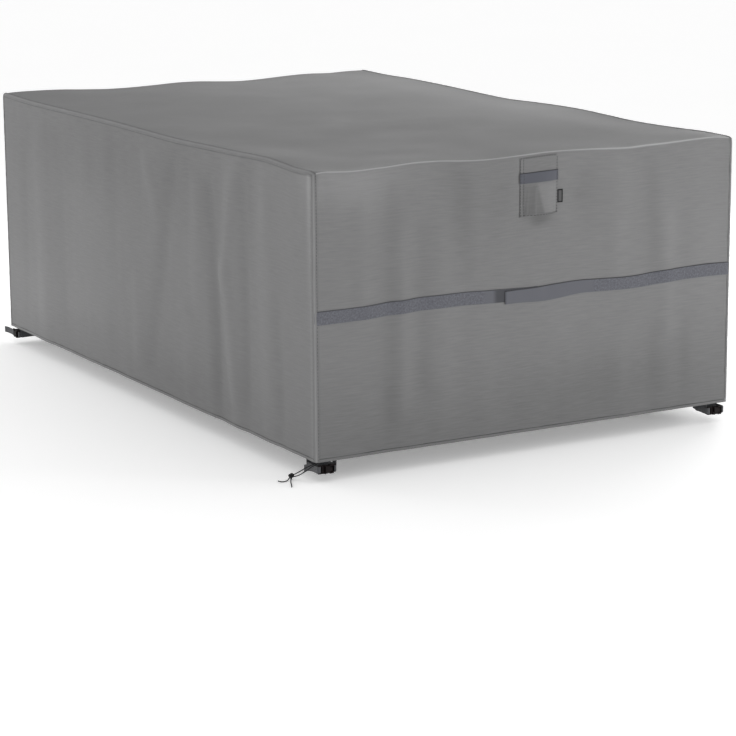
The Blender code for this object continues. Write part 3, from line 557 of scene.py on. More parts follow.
class OverTheTop(Surface):
    """The main panel's face: a is across, from the middle, and b is up from the front hem and over.

    Past the roof's edge a turns down over the corner, where the raised seam lies, and on to the
    side wall.
    """

    def flat(self, a: Array, b: Array) -> Array:
        """Points of the boxy cover."""
        form = FORM
        behind = b > form.over_top / 2
        b = np.where(behind, form.over_top - b, b)
        turn = np.clip((b - form.wall) / form.fold_radius, 0.0, pi / 2)
        roof = np.maximum(b - form.wall - form.fold, 0.0)
        y = -form.half_y + form.fold_radius * (1 - np.cos(turn)) + roof
        z = np.minimum(b, form.wall) + form.hem_z + form.fold_radius * np.sin(turn)
        out_y, out_z = -np.cos(turn), np.sin(turn)
        past = np.maximum(np.abs(a) - form.seam_x, 0.0)
        lean = np.clip(past / form.seam_turn, 0.0, pi / 2)
        drop = form.seam_turn * (1 - np.cos(lean)) + np.maximum(past - pi / 2 * form.seam_turn, 0.0)
        x = np.sign(a) * (np.minimum(np.abs(a), form.seam_x) + form.seam_turn * np.sin(lean))
        y, z = y - drop * out_y, z - drop * out_z
        return np.stack([x, np.where(behind, -y, y), z], axis=-1)


class SideWall(Surface):
    """A long wall's face: a is along +Y from the middle, and b is up from the hem."""

    def __init__(self, side: int) -> None:
        """side is -1 for the left wall and 1 for the right one."""
        self.side = side
        self.sense = float(side)

    def flat(self, a: Array, b: Array) -> Array:
        """Points of the boxy cover."""
        return np.stack([np.full_like(a, self.side * FORM.half_x), a, b + FORM.hem_z], axis=-1)


TOP = OverTheTop()


# ---------------------------------------------------------------- shader maths
def maths(operation: str, turned: bool = False) -> Callable[..., "Signal"]:
    """A method of Signal that adds one Math node.

    Args:
        operation: the node's operation.
        turned: True where the other number comes first, as in 1 - mask.

    Returns:
        The method, which takes the other number where the operation has one.
    """
    def method(signal: "Signal", other: object = 0.0) -> "Signal":
        """Add the node and return its output."""
        first, second = (other, signal) if turned else (signal, other)
        node = signal.bench.node("ShaderNodeMath", {"operation": operation}, {0: first, 1: second})
        return Signal(signal.bench, node.outputs[0])

    return method


class Signal:
    """A shader output that takes part in Python arithmetic."""

    def __init__(self, bench: "Bench", socket: Socket) -> None:
        """Wrap one output socket."""
        self.bench = bench
        self.socket = socket

    __add__ = __radd__ = maths("ADD")
    __sub__ = maths("SUBTRACT")
    __rsub__ = maths("SUBTRACT", turned=True)
    __mul__ = __rmul__ = maths("MULTIPLY")
    __truediv__ = maths("DIVIDE")
    __abs__ = maths("ABSOLUTE")
    sine = maths("SINE")
    highest = maths("MAXIMUM")
    lowest = maths("MINIMUM")

    def eased(self, start: float, stop: float) -> "Signal":
        """A smooth step from 0 at a start to 1 at a stop."""
        node = self.bench.node(
            "ShaderNodeMapRange", {"interpolation_type": "SMOOTHSTEP"},
            {"Value": self, "From Min": start, "From Max": stop, "To Min": 0.0, "To Max": 1.0},
        )
        return Signal(self.bench, node.outputs[0])

    def ribs(self, pitch: float) -> "Signal":
        """Soft ribs from 0 to 1, a pitch apart."""
        return (self * (2 * pi / pitch)).sine() * 0.5 + 0.5


class Bench:
    """The node tree of one material, and the ways in which it is filled."""

    def __init__(self, name: str) -> None:
        """Start an empty material."""
        self.material = bpy.data.materials.new(name)
        self.material.use_nodes = True
        self.tree = self.material.node_tree
        self.tree.nodes.clear()

    def node(
        self, kind: str, settings: Mapping[str, object] | None = None,
        sockets: Mapping[str | int, object] | None = None,
    ) -> bpy.types.ShaderNode:
        """Add one node.

        Args:
            kind: the node's type.
            settings: its own properties.
            sockets: a value, a signal or an output socket for each named or numbered input.

        Returns:
            The new node.
        """
        node = self.tree.nodes.new(kind)
        for key, value in (settings or {}).items():
            setattr(node, key, value)
        for key, value in (sockets or {}).items():
            if isinstance(value, Signal):
                value = value.socket
            if isinstance(value, Socket):
                self.tree.links.new(value, node.inputs[key])
            elif isinstance(value, tuple) and node.inputs[key].type == "RGBA":
                node.inputs[key].default_value = (*value, 1.0)
            else:
                node.inputs[key].default_value = value
        return node

    def cloth_place(self) -> tuple[Signal, Signal]:
        """The place on the flat cloth in metres: along the weft, and along the warp."""
        place = self.node("ShaderNodeUVMap", {"uv_map": UV_NAME})
        parts = self.node("ShaderNodeSeparateXYZ", None, {0: place.outputs[0]})
        return Signal(self, parts.outputs[0]), Signal(self, parts.outputs[1])

    def tone_shift(self) -> Signal:
        """How much paler or darker the cloth is by painted light and shade."""
        settings = {"attribute_type": "GEOMETRY", "attribute_name": SHADING_NAME}
        return Signal(self, self.node("ShaderNodeAttribute", settings).outputs["Fac"])

    def object_place(self) -> Socket:
        """The place in the cover's own frame."""
        return self.node("ShaderNodeTexCoord").outputs["Object"]

    def vector(self, x: object, y: object, z: object = 0.0) -> Socket:
        """Three numbers as one vector."""
        return self.node("ShaderNodeCombineXYZ", None, {0: x, 1: y, 2: z}).outputs[0]

    def noise(self, place: object, scale: float, detail: float = 2.0) -> Signal:
        """Smooth noise from 0 to 1, mostly near a half."""
        sockets = {"Vector": place, "Scale": scale, "Detail": detail}
        return Signal(self, self.node("ShaderNodeTexNoise", None, sockets).outputs[0])

    def blend(self, share: object, first: object, second: object) -> Socket:
        """A colour between two others."""
        settings = {"data_type": "RGBA", "clamp_factor": True}
        return self.node("ShaderNodeMix", settings, {0: share, 6: first, 7: second}).outputs[2]

    def tones(self, share: object, colour: Colour, low: float, high: float) -> Socket:
        """A colour between a darker and a paler one of the same hue, given as factors."""
        return self.blend(share, shade(colour, low), shade(colour, high))

    def bump(self, height: Signal, depth: float, under: object = None) -> Socket:
        """A normal from a height of 0 to 1 that stands for a depth in metres."""
        sockets = {"Height": height, "Distance": depth, "Strength": 1.0}
        if under is not None:
            sockets["Normal"] = under
        return self.node("ShaderNodeBump", None, sockets).outputs[0]

    def surface(
        self, colour: object, roughness: object, normal: object = None, **constants: object
    ) -> Finish:
        """Close the tree with the Principled shader.

        Args:
            colour, roughness, normal: what may change over the surface.
            constants: other sockets, by name with _ for a space, with one value all over.

        Returns:
            The finished material.
        """
        sockets = {"Base Color": colour, "Roughness": roughness}
        if normal is not None:
            sockets["Normal"] = normal
        sockets.update({key.replace("_", " "): value for key, value in constants.items()})
        shader = self.node("ShaderNodeBsdfPrincipled", None, sockets)
        self.node("ShaderNodeOutputMaterial", None, {0: shader.outputs[0]})
        return self.material


def shade(colour: Colour, factor: float) -> Colour:
    """A colour made darker or lighter."""
    return tuple(part * factor for part in colour)


class Line(NamedTuple):
    """A line of painted highlight (+) or painted shade (-) along the cloth: its place, half width and change.

    It keeps its whole change over its core, and fades from there to its half width.
    """

    at: float
    half: float
    change: float
    core: float = 0.0

    def over(self, place: Signal) -> Signal:
        """The change at places across the line."""
        return (1 - abs(place - self.at).eased(self.core, self.half)) * self.change


@dataclass(frozen=True)
class Canvas:
    """Coated grey polyester canvas: a plain weave with thicker threads that run across.

    Its tone is a factor of its colour. It is a little paler on the crests of folds and darker
    in their hollows and towards the hem, as painted light and shade. Where it is smooth,
    as on the roof, the slubs hardly show.
    """

    name: str = "canvas"
    colour: Colour = (0.139, 0.139, 0.140)
    slub_length: float = 0.070
    slub_pitch: float = 0.0045
    slub_depth: float = 0.38
    cloud_depth: float = 0.12
    thread: float = 0.0011
    # Painted shade towards the hem: its change, where it starts and how far up it reaches.
    hem_painted_shade: float = 0.0
    hem_from: float = -0.05
    hem_reach: float = 0.34
    panel_length: float = PAST_ALL
    lines: tuple[Line, ...] = ()
    cross_lines: tuple[Line, ...] = ()
    darkest: float = -0.75
    palest: float = 2.00
    smooth: Line = Line(0.0, 0.001, 0.0)
    short_length: float = 0.4
    short_pitch: float = 0.55
    short_share: float = 0.35
    cloud_scale: float = 5.0
    slub_height: float = 0.00035
    weave_height: float = 0.00005
    roughness: float = 0.66
    gloss_change: float = 0.2

    def material(self) -> Finish:
        """Mottled grey, darker and lighter slubs along the weft, and the weave as a bump."""
        bench = Bench(self.name)
        u, v = bench.cloth_place()
        length, pitch = self.slub_length, self.slub_pitch
        long_slubs = bench.noise(bench.vector(u / length, v / pitch), 1.0, 1.0)
        short = bench.vector(u / (length * self.short_length), v / (pitch * self.short_pitch), 7.0)
        short_slubs = bench.noise(short, 1.0, 1.0)
        clouds = bench.noise(bench.vector(u, v, 3.0), self.cloud_scale, 3.0)
        slubs = long_slubs * (1 - self.short_share) + short_slubs * self.short_share
        slubs = slubs + (0.5 - slubs) * self.smooth.over(v)
        change = (slubs - 0.5) * self.slub_depth + (clouds - 0.5) * self.cloud_depth
        # Painted light and shade from the piece's point attribute.
        change = change + bench.tone_shift()
        height = v.lowest(self.panel_length - v)
        # Painted shade, darker towards the hem.
        change = change + (1 - height.eased(self.hem_from, self.hem_reach)) * self.hem_painted_shade
        # Lines of painted highlight and painted shade along and across the cloth.
        for place, lines in ((v, self.lines), (u, self.cross_lines)):
            for line in lines:
                change = change + line.over(place)
        share = (change - self.darkest) / (self.palest - self.darkest)
        turn = 2 * pi / self.thread
        weave = (v * turn).sine() * (u * turn).sine() * 0.5 + 0.5
        normal = bench.bump(slubs, self.slub_height, bench.bump(weave, self.weave_height))
        return bench.surface(
            bench.tones(share, self.colour, 1 + self.darkest, 1 + self.palest),
            (clouds - 0.5) * self.gloss_change + self.roughness, normal, Specular_IOR_Level=0.28,
            Sheen_Weight=0.04, Sheen_Roughness=0.5,
        )


@dataclass(frozen=True)
class PileTape:
    """Blue-grey hook-and-loop tape: speckled pile, with a smooth woven stretch and painted shade along its
    upper edge.
    """

    name: str = "pile tape"
    colour: Colour = (0.0895, 0.0915, 0.1055)
    smooth_from: float = 0.0
    smooth_to: float = 0.0
    blend_over: float = 0.020
    # Where the darker hook end starts and its tone: partly the hooks' own colour and partly painted shadow of
    # the other half, which lies over it.
    hooks_and_shadow_from: float = PAST_ALL
    hooks_and_shadow_tone: float = 0.60
    half_width: float = 0.019
    # Painted shade along the upper edge: its width and tone.
    upper_edge_shade: float = 0.0026
    upper_edge_shade_tone: float = 0.35
    speckle_scale: float = 420.0
    tuft_scale: float = 170.0
    contrast: float = 2.7
    rib: float = 0.0016
    rib_tone: float = 0.15
    smooth_tone: float = 0.38
    darkest: float = 0.68
    palest: float = 1.32

    def material(self) -> Finish:
        """Pile speckle that gives way to smooth weave and then to dark hooks along the tape, with painted
        shadow and shade.
        """
        bench = Bench(self.name)
        u, v = bench.cloth_place()
        speckle = bench.noise(bench.vector(u, v), self.speckle_scale, 2.0)
        tufts = bench.noise(bench.vector(u, v, 5.0), self.tuft_scale, 1.0)
        smooth = u.eased(self.smooth_from - self.blend_over, self.smooth_from)
        smooth = smooth * (1 - u.eased(self.smooth_to, self.smooth_to + self.blend_over))
        ribs = v.ribs(self.rib)
        pile = (speckle * 0.5 + tufts * 0.5 - 0.5) * self.contrast + 0.5
        tone = pile * (1 - smooth) + (ribs * self.rib_tone + self.smooth_tone) * smooth
        height = pile * (1 - smooth) + ribs * smooth * 0.3
        colour = bench.tones(tone, self.colour, self.darkest, self.palest)
        # The darker end is partly the hooks' own colour and partly painted shadow of the other half.
        hooks = u.eased(self.hooks_and_shadow_from, self.hooks_and_shadow_from + self.blend_over)
        colour = bench.blend(hooks, colour, shade(self.colour, self.hooks_and_shadow_tone))
        # Painted shade along the tape's upper edge.
        edge = v.eased(self.half_width - self.upper_edge_shade, self.half_width - self.upper_edge_shade * 0.7)
        colour = bench.blend(edge, colour, shade(self.colour, self.upper_edge_shade_tone))
        return bench.surface(
            colour, 0.92 - smooth * 0.14, bench.bump(height, depth=0.0004), Specular_IOR_Level=0.25,
            Sheen_Weight=0.10, Sheen_Roughness=0.6,
        )


@dataclass(frozen=True)
class WovenWebbing:
    """Dark flat webbing with slanting ribs and firm edges."""

    name: str = "webbing"
    colour: Colour = (0.046, 0.047, 0.051)
    rib: float = 0.0022
    half_width: float = 0.010
    slant: float = 0.9
    rib_tone: float = 0.6
    fuzz_tone: float = 0.5
    edge_tone: float = 0.25

    def material(self) -> Finish:
        """Herringbone ribs that turn back at the middle of the tape."""
        bench = Bench(self.name)
        u, v = bench.cloth_place()
        ribs = (u + abs(v) * self.slant).ribs(self.rib)
        fuzz = bench.noise(bench.vector(u, v), 900.0, 2.0)
        edge = abs(v).eased(self.half_width * 0.86, self.half_width)
        tone = ribs * self.rib_tone + fuzz * self.fuzz_tone - edge * self.edge_tone
        return bench.surface(
            bench.tones(tone, self.colour, 0.55, 1.50), 0.78, bench.bump(ribs + fuzz * 0.4, depth=0.0003),
            Specular_IOR_Level=0.35, Sheen_Weight=0.15,
        )


@dataclass(frozen=True)
class MouldedPlastic:
    """Black acetal with a fine spark-eroded grain and paler rubbed patches."""

    name: str = "moulded plastic"
    colour: Colour = (0.006, 0.004, 0.004)
    rubbed_tone: float = 1.8

    def material(self) -> Finish:
        """Fine grain in the bump, and a slow change of gloss."""
        bench = Bench(self.name)
        place = bench.object_place()
        grain = bench.noise(place, 1800.0, 2.0)
        rubbed = bench.noise(place, 60.0, 3.0)
        colour = bench.tones(rubbed.eased(0.45, 0.75), self.colour, 1.0, self.rubbed_tone)
        return bench.surface(
            colour, 0.42 + rubbed * 0.25, bench.bump(grain, depth=0.00006), Specular_IOR_Level=0.11
        )


@dataclass(frozen=True)
class BareTab:
    """A small woven tab without words: a grey field with a black woven border."""

    name: str = "bare woven tab"
    field_colour: Colour = (0.075, 0.075, 0.076)
    border_colour: Colour = (0.007, 0.007, 0.008)
    half_width: float = 0.0085
    half_height: float = 0.0189
    border: float = 0.0034
    border_blend: float = 0.0003
    thread: float = 0.0007

    def material(self) -> Finish:
        """The border follows the tab's own outline, and the field has fine cross threads."""
        bench = Bench(self.name)
        u, v = bench.cloth_place()
        side, end = (
            abs(place).eased(half - self.border - self.border_blend, half - self.border)
            for place, half in ((u, self.half_width), (v, self.half_height))
        )
        threads = v.ribs(self.thread)
        grey = bench.tones(threads, self.field_colour, 0.8, 1.2)
        colour = bench.blend(side.highest(end), grey, self.border_colour)
        return bench.surface(colour, 0.7, bench.bump(threads, depth=0.0001), Specular_IOR_Level=0.2)


@dataclass(frozen=True)
class BraidedCord:
    """Round black cord with two sets of strands that cross."""

    name: str = "braided cord"
    colour: Colour = (0.011, 0.011, 0.012)
    lay: float = 0.0042
    strands: int = 4

    def material(self) -> Finish:
        """Crossing spirals from the place along the cord and round it."""
        bench = Bench(self.name)
        along, round_it = bench.cloth_place()
        spiral = along * (2 * pi / self.lay)
        turn = round_it * (2 * pi * self.strands)
        braid = ((spiral + turn).sine() * (spiral - turn).sine()) * 0.5 + 0.5
        fuzz = bench.noise(bench.vector(along * 600.0, round_it * 12.0), 1.0, 2.0)
        colour = bench.tones(braid * 0.7 + fuzz * 0.3, self.colour, 0.5, 2.0)
        return bench.surface(colour, 0.75, bench.bump(braid, depth=0.0003), Specular_IOR_Level=0.2)


@dataclass(frozen=True)
class SewingThread:
    """Bonded thread, a little darker than the canvas."""

    name: str = "sewing thread"
    colour: Colour = (0.022, 0.022, 0.024)

    def material(self) -> Finish:
        """Slow changes of tone along the rows."""
        bench = Bench(self.name)
        tone_shift = bench.noise(bench.object_place(), 240.0, 2.0)
        return bench.surface(bench.tones(tone_shift, self.colour, 0.6, 1.6), 0.55, Specular_IOR_Level=0.4)


# ---------------------------------------------------------------- making pieces
def added(name: str, data: bpy.types.ID) -> Piece:
    """A new object of the scene."""
    piece = bpy.data.objects.new(name, data)
    bpy.context.scene.collection.objects.link(piece)
    return piece


def dress(piece: Piece, material: Finish, slot: str, *nodes: str) -> Piece:
    """Give a piece its material, the body it rides on and the nodes it replaces."""
    piece.data.materials.clear()
    piece.data.materials.append(material)
    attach(piece, BODY)
    if nodes:
        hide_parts(*nodes)
    return piece


def woven(
    name: str, places: Array, cloth: tuple[Array, Array], outward: Sequence[float] = (),
    tone_shift: Array | None = None,
) -> Piece:
    """A sheet on a grid of places.

    Args:
        name: the piece's name.
        places: points of the sheet, as rows of columns.
        cloth: place on the flat cloth of each point, in metres, along the weft and along the warp.
        outward: the way out of the sheet at its middle, where the grid may be wound either way.
        tone_shift: how much paler or darker the cloth is at each point, which its finish reads.

    Returns:
        The new object, smooth shaded, with the flat cloth as its UV map.
    """
    rows, columns = places.shape[:2]
    bm = bmesh.new()
    bmesh.ops.create_grid(bm, x_segments=columns - 1, y_segments=rows - 1, size=0.5, calc_uvs=False)
    mesh = bpy.data.meshes.new(name)
    bm.to_mesh(mesh)
    bm.free()
    mesh.vertices.foreach_set("co", places.reshape(-1).astype(np.float32))
    corner = np.empty(len(mesh.loops), dtype=np.int32)
    mesh.loops.foreach_get("vertex_index", corner)
    layer = mesh.uv_layers.new(name=UV_NAME)
    flat = np.stack([np.broadcast_to(part, (rows, columns)) for part in cloth], axis=-1)
    layer.data.foreach_set("uv", flat.reshape(-1, 2)[corner].reshape(-1).astype(np.float32))
    # The change of tone is painted light and shade, kept as a point attribute for the finish.
    if tone_shift is not None:
        tone = mesh.attributes.new(SHADING_NAME, "FLOAT", "POINT")
        tone.data.foreach_set("value", tone_shift.reshape(-1).astype(np.float32))
    mesh.shade_smooth()
    mesh.update()
    if outward:
        middle = mesh.polygons[len(mesh.polygons) // 2 + (columns - 1) // 2]
        if middle.normal.dot(Vector(outward)) < 0.0:
            mesh.flip_normals()
    return added(name, mesh)


def thicken(piece: Piece, thickness: float, offset: float = -1.0) -> Piece:
    """Solidify a sheet. An offset of -1 grows it inwards from the face that shows."""
    solid = piece.modifiers.new("thickness", "SOLIDIFY")
    solid.thickness = thickness
    solid.offset = offset
    solid.use_even_offset = False
    return piece


def round_edges(piece: Piece, width: float) -> Piece:
    """Round the sharp edges of a piece."""
    step = piece.modifiers.new("round edges", "BEVEL")
    step.width = width
    step.segments = 2
    step.limit_method = "ANGLE"
    step.angle_limit = radians(40)
    return piece


def tube(name: str, route: Array, radius: float, sides: int = 10) -> Piece:
    """A round tube with closed ends along a route, with its length and turn as its UV map.

    Args:
        name: the piece's name.
        route: points of the centreline.
        radius: radius of the tube.
        sides: faces round it.

    Returns:
        The new object.
    """
    along = np.gradient(route, axis=0)
    along /= np.linalg.norm(along, axis=1, keepdims=True)
    across = np.cross(along[0], (0.0, 0.0, 1.0))
    if np.linalg.norm(across) < 0.1:
        across = np.cross(along[0], (0.0, 1.0, 0.0))
    turns = np.linspace(0.0, 2 * pi, sides + 1)
    rings = []
    for point, ahead in zip(route, along):
        across = across - ahead * np.dot(across, ahead)
        across /= np.linalg.norm(across)
        up = np.cross(ahead, across)
        circle = np.cos(turns)[:, None] * across + np.sin(turns)[:, None] * up
        rings.append(point + circle * radius)
    piece = woven(name, np.array(rings), (way(route)[:, None], turns / (2 * pi)))
    bm = bmesh.new()
    bm.from_mesh(piece.data)
    bmesh.ops.remove_doubles(bm, verts=bm.verts, dist=radius * 0.01)
    rims = [edge for edge in bm.edges if edge.is_boundary]
    caps = bmesh.ops.holes_fill(bm, edges=rims, sides=0)["faces"]
    bmesh.ops.inset_individual(bm, faces=caps, thickness=radius * 0.35, depth=radius * 0.3)
    bmesh.ops.recalc_face_normals(bm, faces=bm.faces)
    for face in bm.faces:
        face.smooth = True
    bm.to_mesh(piece.data)
    bm.free()
    return piece


@dataclass
class Stitching:
    """Rows of stitches, gathered into one piece of thread."""

    name: str
    pitch: float
    stitch: float
    thread: float
    splines: list[Array] = field(default_factory=list)
    dips: tuple[float, ...] = (-0.10, 0.32, -0.10)

    def row(self, place: Callable[[Array, Array], Array], start: float, stop: float) -> None:
        """Add a row of stitches.

        Args:
            place: gives points from places along the row and heights over the cloth.
            start, stop: the row's ends, as places along it.
        """
        first = spaced(start, stop, self.pitch)
        places = first[:, None] + np.array([0.0, 0.5, 1.0]) * self.stitch
        heights = np.broadcast_to(np.array(self.dips) * MM, places.shape)
        self.splines.extend(place(places, heights))

    def build(self, material: Finish) -> Piece:
        """Make the thread as one object of short beads."""
        curve = bpy.data.curves.new(self.name, "CURVE")
        curve.dimensions = "3D"
        curve.bevel_depth = self.thread
        curve.bevel_resolution = 0
        curve.use_fill_caps = True
        for points in self.splines:
            strand = curve.splines.new("POLY")
            strand.points.add(len(points) - 1)
            weighted = np.pad(points, ((0, 0), (0, 1)), constant_values=1.0)
            strand.points.foreach_set("co", weighted.ravel())
        return dress(added(self.name, curve), material, "cloth")


# ---------------------------------------------------------------- the canvas
@dataclass(frozen=True)
class Hem:
    """A hem: the cloth turns inwards at its lower edge, comes back up and is stitched down."""

    turn_up: float = 0.018
    layer: float = 0.0017
    stitch_line: float = 0.0090
    raised: float = 0.0006
    groove: Ridge = Ridge(0.0006, 0.0011)
    band_fade: float = 0.0035
    ripple: Grain = Grain(0.0007, 0.030, 0.5, 12)
    outer_rows: tuple[float, ...] = (
        0.0022, 0.0045, 0.0068, 0.0080, 0.0090, 0.0100, 0.0115, 0.0150, 0.0200,
    )
    rows_end: float = 0.026

    @property
    def past_edge(self) -> float:
        """How much longer the way over the rounded edge is than the heights along it."""
        return pi * self.layer / 2 - self.layer

    def stations(self) -> tuple[Array, Array]:
        """Heights over the lower edge and depths behind the face, from the turn-up's top downwards."""
        inside = np.array([1.0, 0.72, 0.48, 0.25, 0.10]) * self.turn_up
        angles = np.linspace(-pi / 2, pi / 2, 6)
        radius = self.layer / 2
        heights = np.concatenate([inside, radius * (1 - np.cos(angles))])
        depths = np.concatenate([np.full_like(inside, self.layer), radius * (1 - np.sin(angles))])
        return heights, depths

    def turned(self, outer: Array) -> tuple[Array, Array, Array]:
        """Rows of a cloth from its turn-up's top, round the lower edge and up its outer face.

        Args:
            outer: heights of the outer face's rows.

        Returns:
            The height of each row, its depth behind the face and the length of cloth up to it.
        """
        heights, depths = self.stations()
        rows = np.concatenate([heights, outer])
        inside = np.concatenate([depths, np.zeros_like(outer)])
        return rows, inside, way(np.stack([rows, inside], axis=-1)) - self.turn_up

    def relief(self, height: Array, along: Array) -> Array:
        """How far the doubled cloth stands out, with a groove that puckers at the stitches."""
        band = self.raised * (1 - ease((height - self.stitch_line) / self.band_fade))
        pucker = 0.75 + Grain(0.35, 0.014, 0.2, 11).at(along, height)
        groove = self.groove.at(height - self.stitch_line) * pucker
        ripple = self.ripple.at(along, height) * bell(height - 0.004, 0.018)
        return band - groove + ripple


HEM = Hem()


@dataclass
class MainPanel:
    """The roof and both end walls, in one piece of canvas."""

    column: float = 0.0100
    front_row: float = 0.0098
    fold_row: float = 0.0030
    beside_fold: float = 0.02
    beside_row: float = 0.005
    roof_row: float = 0.0200
    back_row: float = 0.0140
    flap: float = 0.0070
    thickness: float = 0.0008
    pucker: Grain = Grain(0.0005, 0.016, 0.4, 21)
    wrinkles: tuple[Grain, Grain] = (Grain(0.0007, 0.075, 0.260, 22), Grain(0.0004, 0.031, 0.150, 23))
    roof_wrinkle: Grain = Grain(0.0009, 0.130, 0.160, 24)
    under_band: float = -0.0006
    over_strap: Ridge = Ridge(0.0014, 0.014)
    under_strap: Ridge = Ridge(0.0007, 0.012)
    drawn_in: Ridge = Ridge(-0.0008, 0.010)

    def stations(self) -> tuple[Array, Array, Array]:
        """Rows from hem to hem: place along the panel, depth behind the face, and length of cloth."""
        heights, depths = HEM.stations()
        low = np.array(HEM.outer_rows)
        fold_start, fold_stop = FORM.wall, FORM.wall + FORM.fold
        roof_start, back = fold_stop + self.beside_fold, FORM.over_top
        middle = np.concatenate([
            low, spaced(HEM.rows_end, fold_start, self.front_row),
            spaced(fold_start, fold_stop, self.fold_row), spaced(fold_stop, roof_start, self.beside_row),
            spaced(roof_start, back - fold_stop, self.roof_row),
            spaced(back - fold_stop, back - fold_start, self.fold_row),
            spaced(back - fold_start, back - HEM.rows_end, self.back_row), back - low[::-1],
        ])
        rows = np.concatenate([heights, middle, back - heights[::-1]])
        inside = np.concatenate([depths, np.zeros_like(middle), depths[::-1]])
        return rows, inside, way(np.stack([rows, inside], axis=-1)) - HEM.turn_up

    def relief(self, a: Array, b: Array) -> Array:
        """Small unevenness on top of the folds: hems, puckers beside the seams and soft wrinkles."""
        height = np.minimum(b, FORM.over_top - b)
        on_wall = 1 - ease((height - FORM.wall + 0.01) / 0.03)
        beside_seam = FORM.seam_x - np.abs(a)
        pucker = self.pucker.at(b, a) * bell(beside_seam, SEAM_PUCKER_REACH)
        wrinkle = sum(grain.at(a, b) for grain in self.wrinkles)
        under_band = self.under_band * ease(-beside_seam / 0.002)
        small = wrinkle * on_wall + self.roof_wrinkle.at(a, b) * (1 - on_wall)
        small = small * away_from_seam(beside_seam)
        return HEM.relief(height, a) + pucker + small + under_band + self.beside_strap(a, b)

    def beside_strap(self, a: Array, b: Array) -> Array:
        """The front wall is drawn in under the strap, and swells a little over it."""
        over, under = b - up_from_hem(Strap.top), up_from_hem(Strap.low) - b
        swell = self.over_strap.at(over - 0.016) + self.under_strap.at(under - 0.016)
        return (swell + self.drawn_in.at(over + 0.006)) * ease((FORM.seam_x - np.abs(a)) / 0.05)

    def build(self, material: Finish) -> Piece:
        """Make the panel."""
        rows, inside, length = self.stations()
        flaps = FORM.seam_x + np.linspace(0.0, self.flap, 4)[1:]
        flat_part = np.linspace(-FORM.seam_x, FORM.seam_x, round(2 * FORM.seam_x / self.column) + 1)
        a, b = np.meshgrid(np.concatenate([-flaps[::-1], flat_part, flaps]), rows)
        places = TOP.place(a, b, self.relief(a, b) - inside[:, None])
        tone_shift = DRAPE.tone_shift(TOP.flat(a, b))
        piece = woven("canvas_roof_and_ends", places, (a, length[:, None]), (0, 0, 1), tone_shift)
        return dress(thicken(piece, self.thickness), material, "cloth", "main_panel")


@dataclass
class LongWall:
    """A long wall, sewn to the main panel along its top and both upright corners."""

    side: int
    name: str
    node: str
    column: float
    row: float
    tuck: float = 0.0012
    border: float = 0.012
    thickness: float = 0.0008
    beside_seam: float = 0.0

    def relief(self, a: Array, b: Array) -> Array:
        """Small unevenness on top of the folds, and a soft ridge beside the front corner's seam."""
        to_corner = FORM.half_y - FORM.seam_turn - np.abs(a)
        edge = np.minimum(to_corner, FORM.height - FORM.seam_turn - b)
        seed = 30 + self.side
        pucker = Grain(0.0005, 0.016, 0.4, seed).at(a + b, a - b) * bell(edge, SEAM_PUCKER_REACH)
        wrinkle = Grain(0.0008, 0.090, 0.300, seed + 5).at(a, b)
        wrinkle += Grain(0.0004, 0.034, 0.160, seed + 10).at(a, b)
        ridge = Ridge(self.beside_seam, 0.0065).at(a + FORM.half_y - 0.021) * ease((b - 0.30) / 0.20)
        return HEM.relief(b, a) + pucker + wrinkle * away_from_seam(edge) + ridge

    def build(self, material: Finish) -> Piece:
        """Make the wall."""
        half = FORM.half_y - FORM.seam_turn + self.tuck
        top = FORM.height - FORM.seam_turn + self.tuck
        rows, inside, length = HEM.turned(np.concatenate([
            HEM.outer_rows, spaced(HEM.rows_end, top - self.border, self.row),
            np.linspace(top - self.border, top, 4),
        ]))
        edge = np.linspace(half - self.border, half, 4)
        count = round((2 * half - 2 * self.border) / self.column)
        middle = np.linspace(-half + self.border, half - self.border, count)[1:-1]
        a, b = np.meshgrid(np.concatenate([-edge[::-1], middle, edge]), rows)
        face = SideWall(self.side)
        places = face.place(a, b, self.relief(a, b) - inside[:, None])
        tone_shift = DRAPE.tone_shift(face.flat(a, b))
        piece = woven(self.name, places, (a, length[:, None]), (self.side, 0, 0), tone_shift)
        return dress(thicken(piece, self.thickness), material, "cloth", self.node)


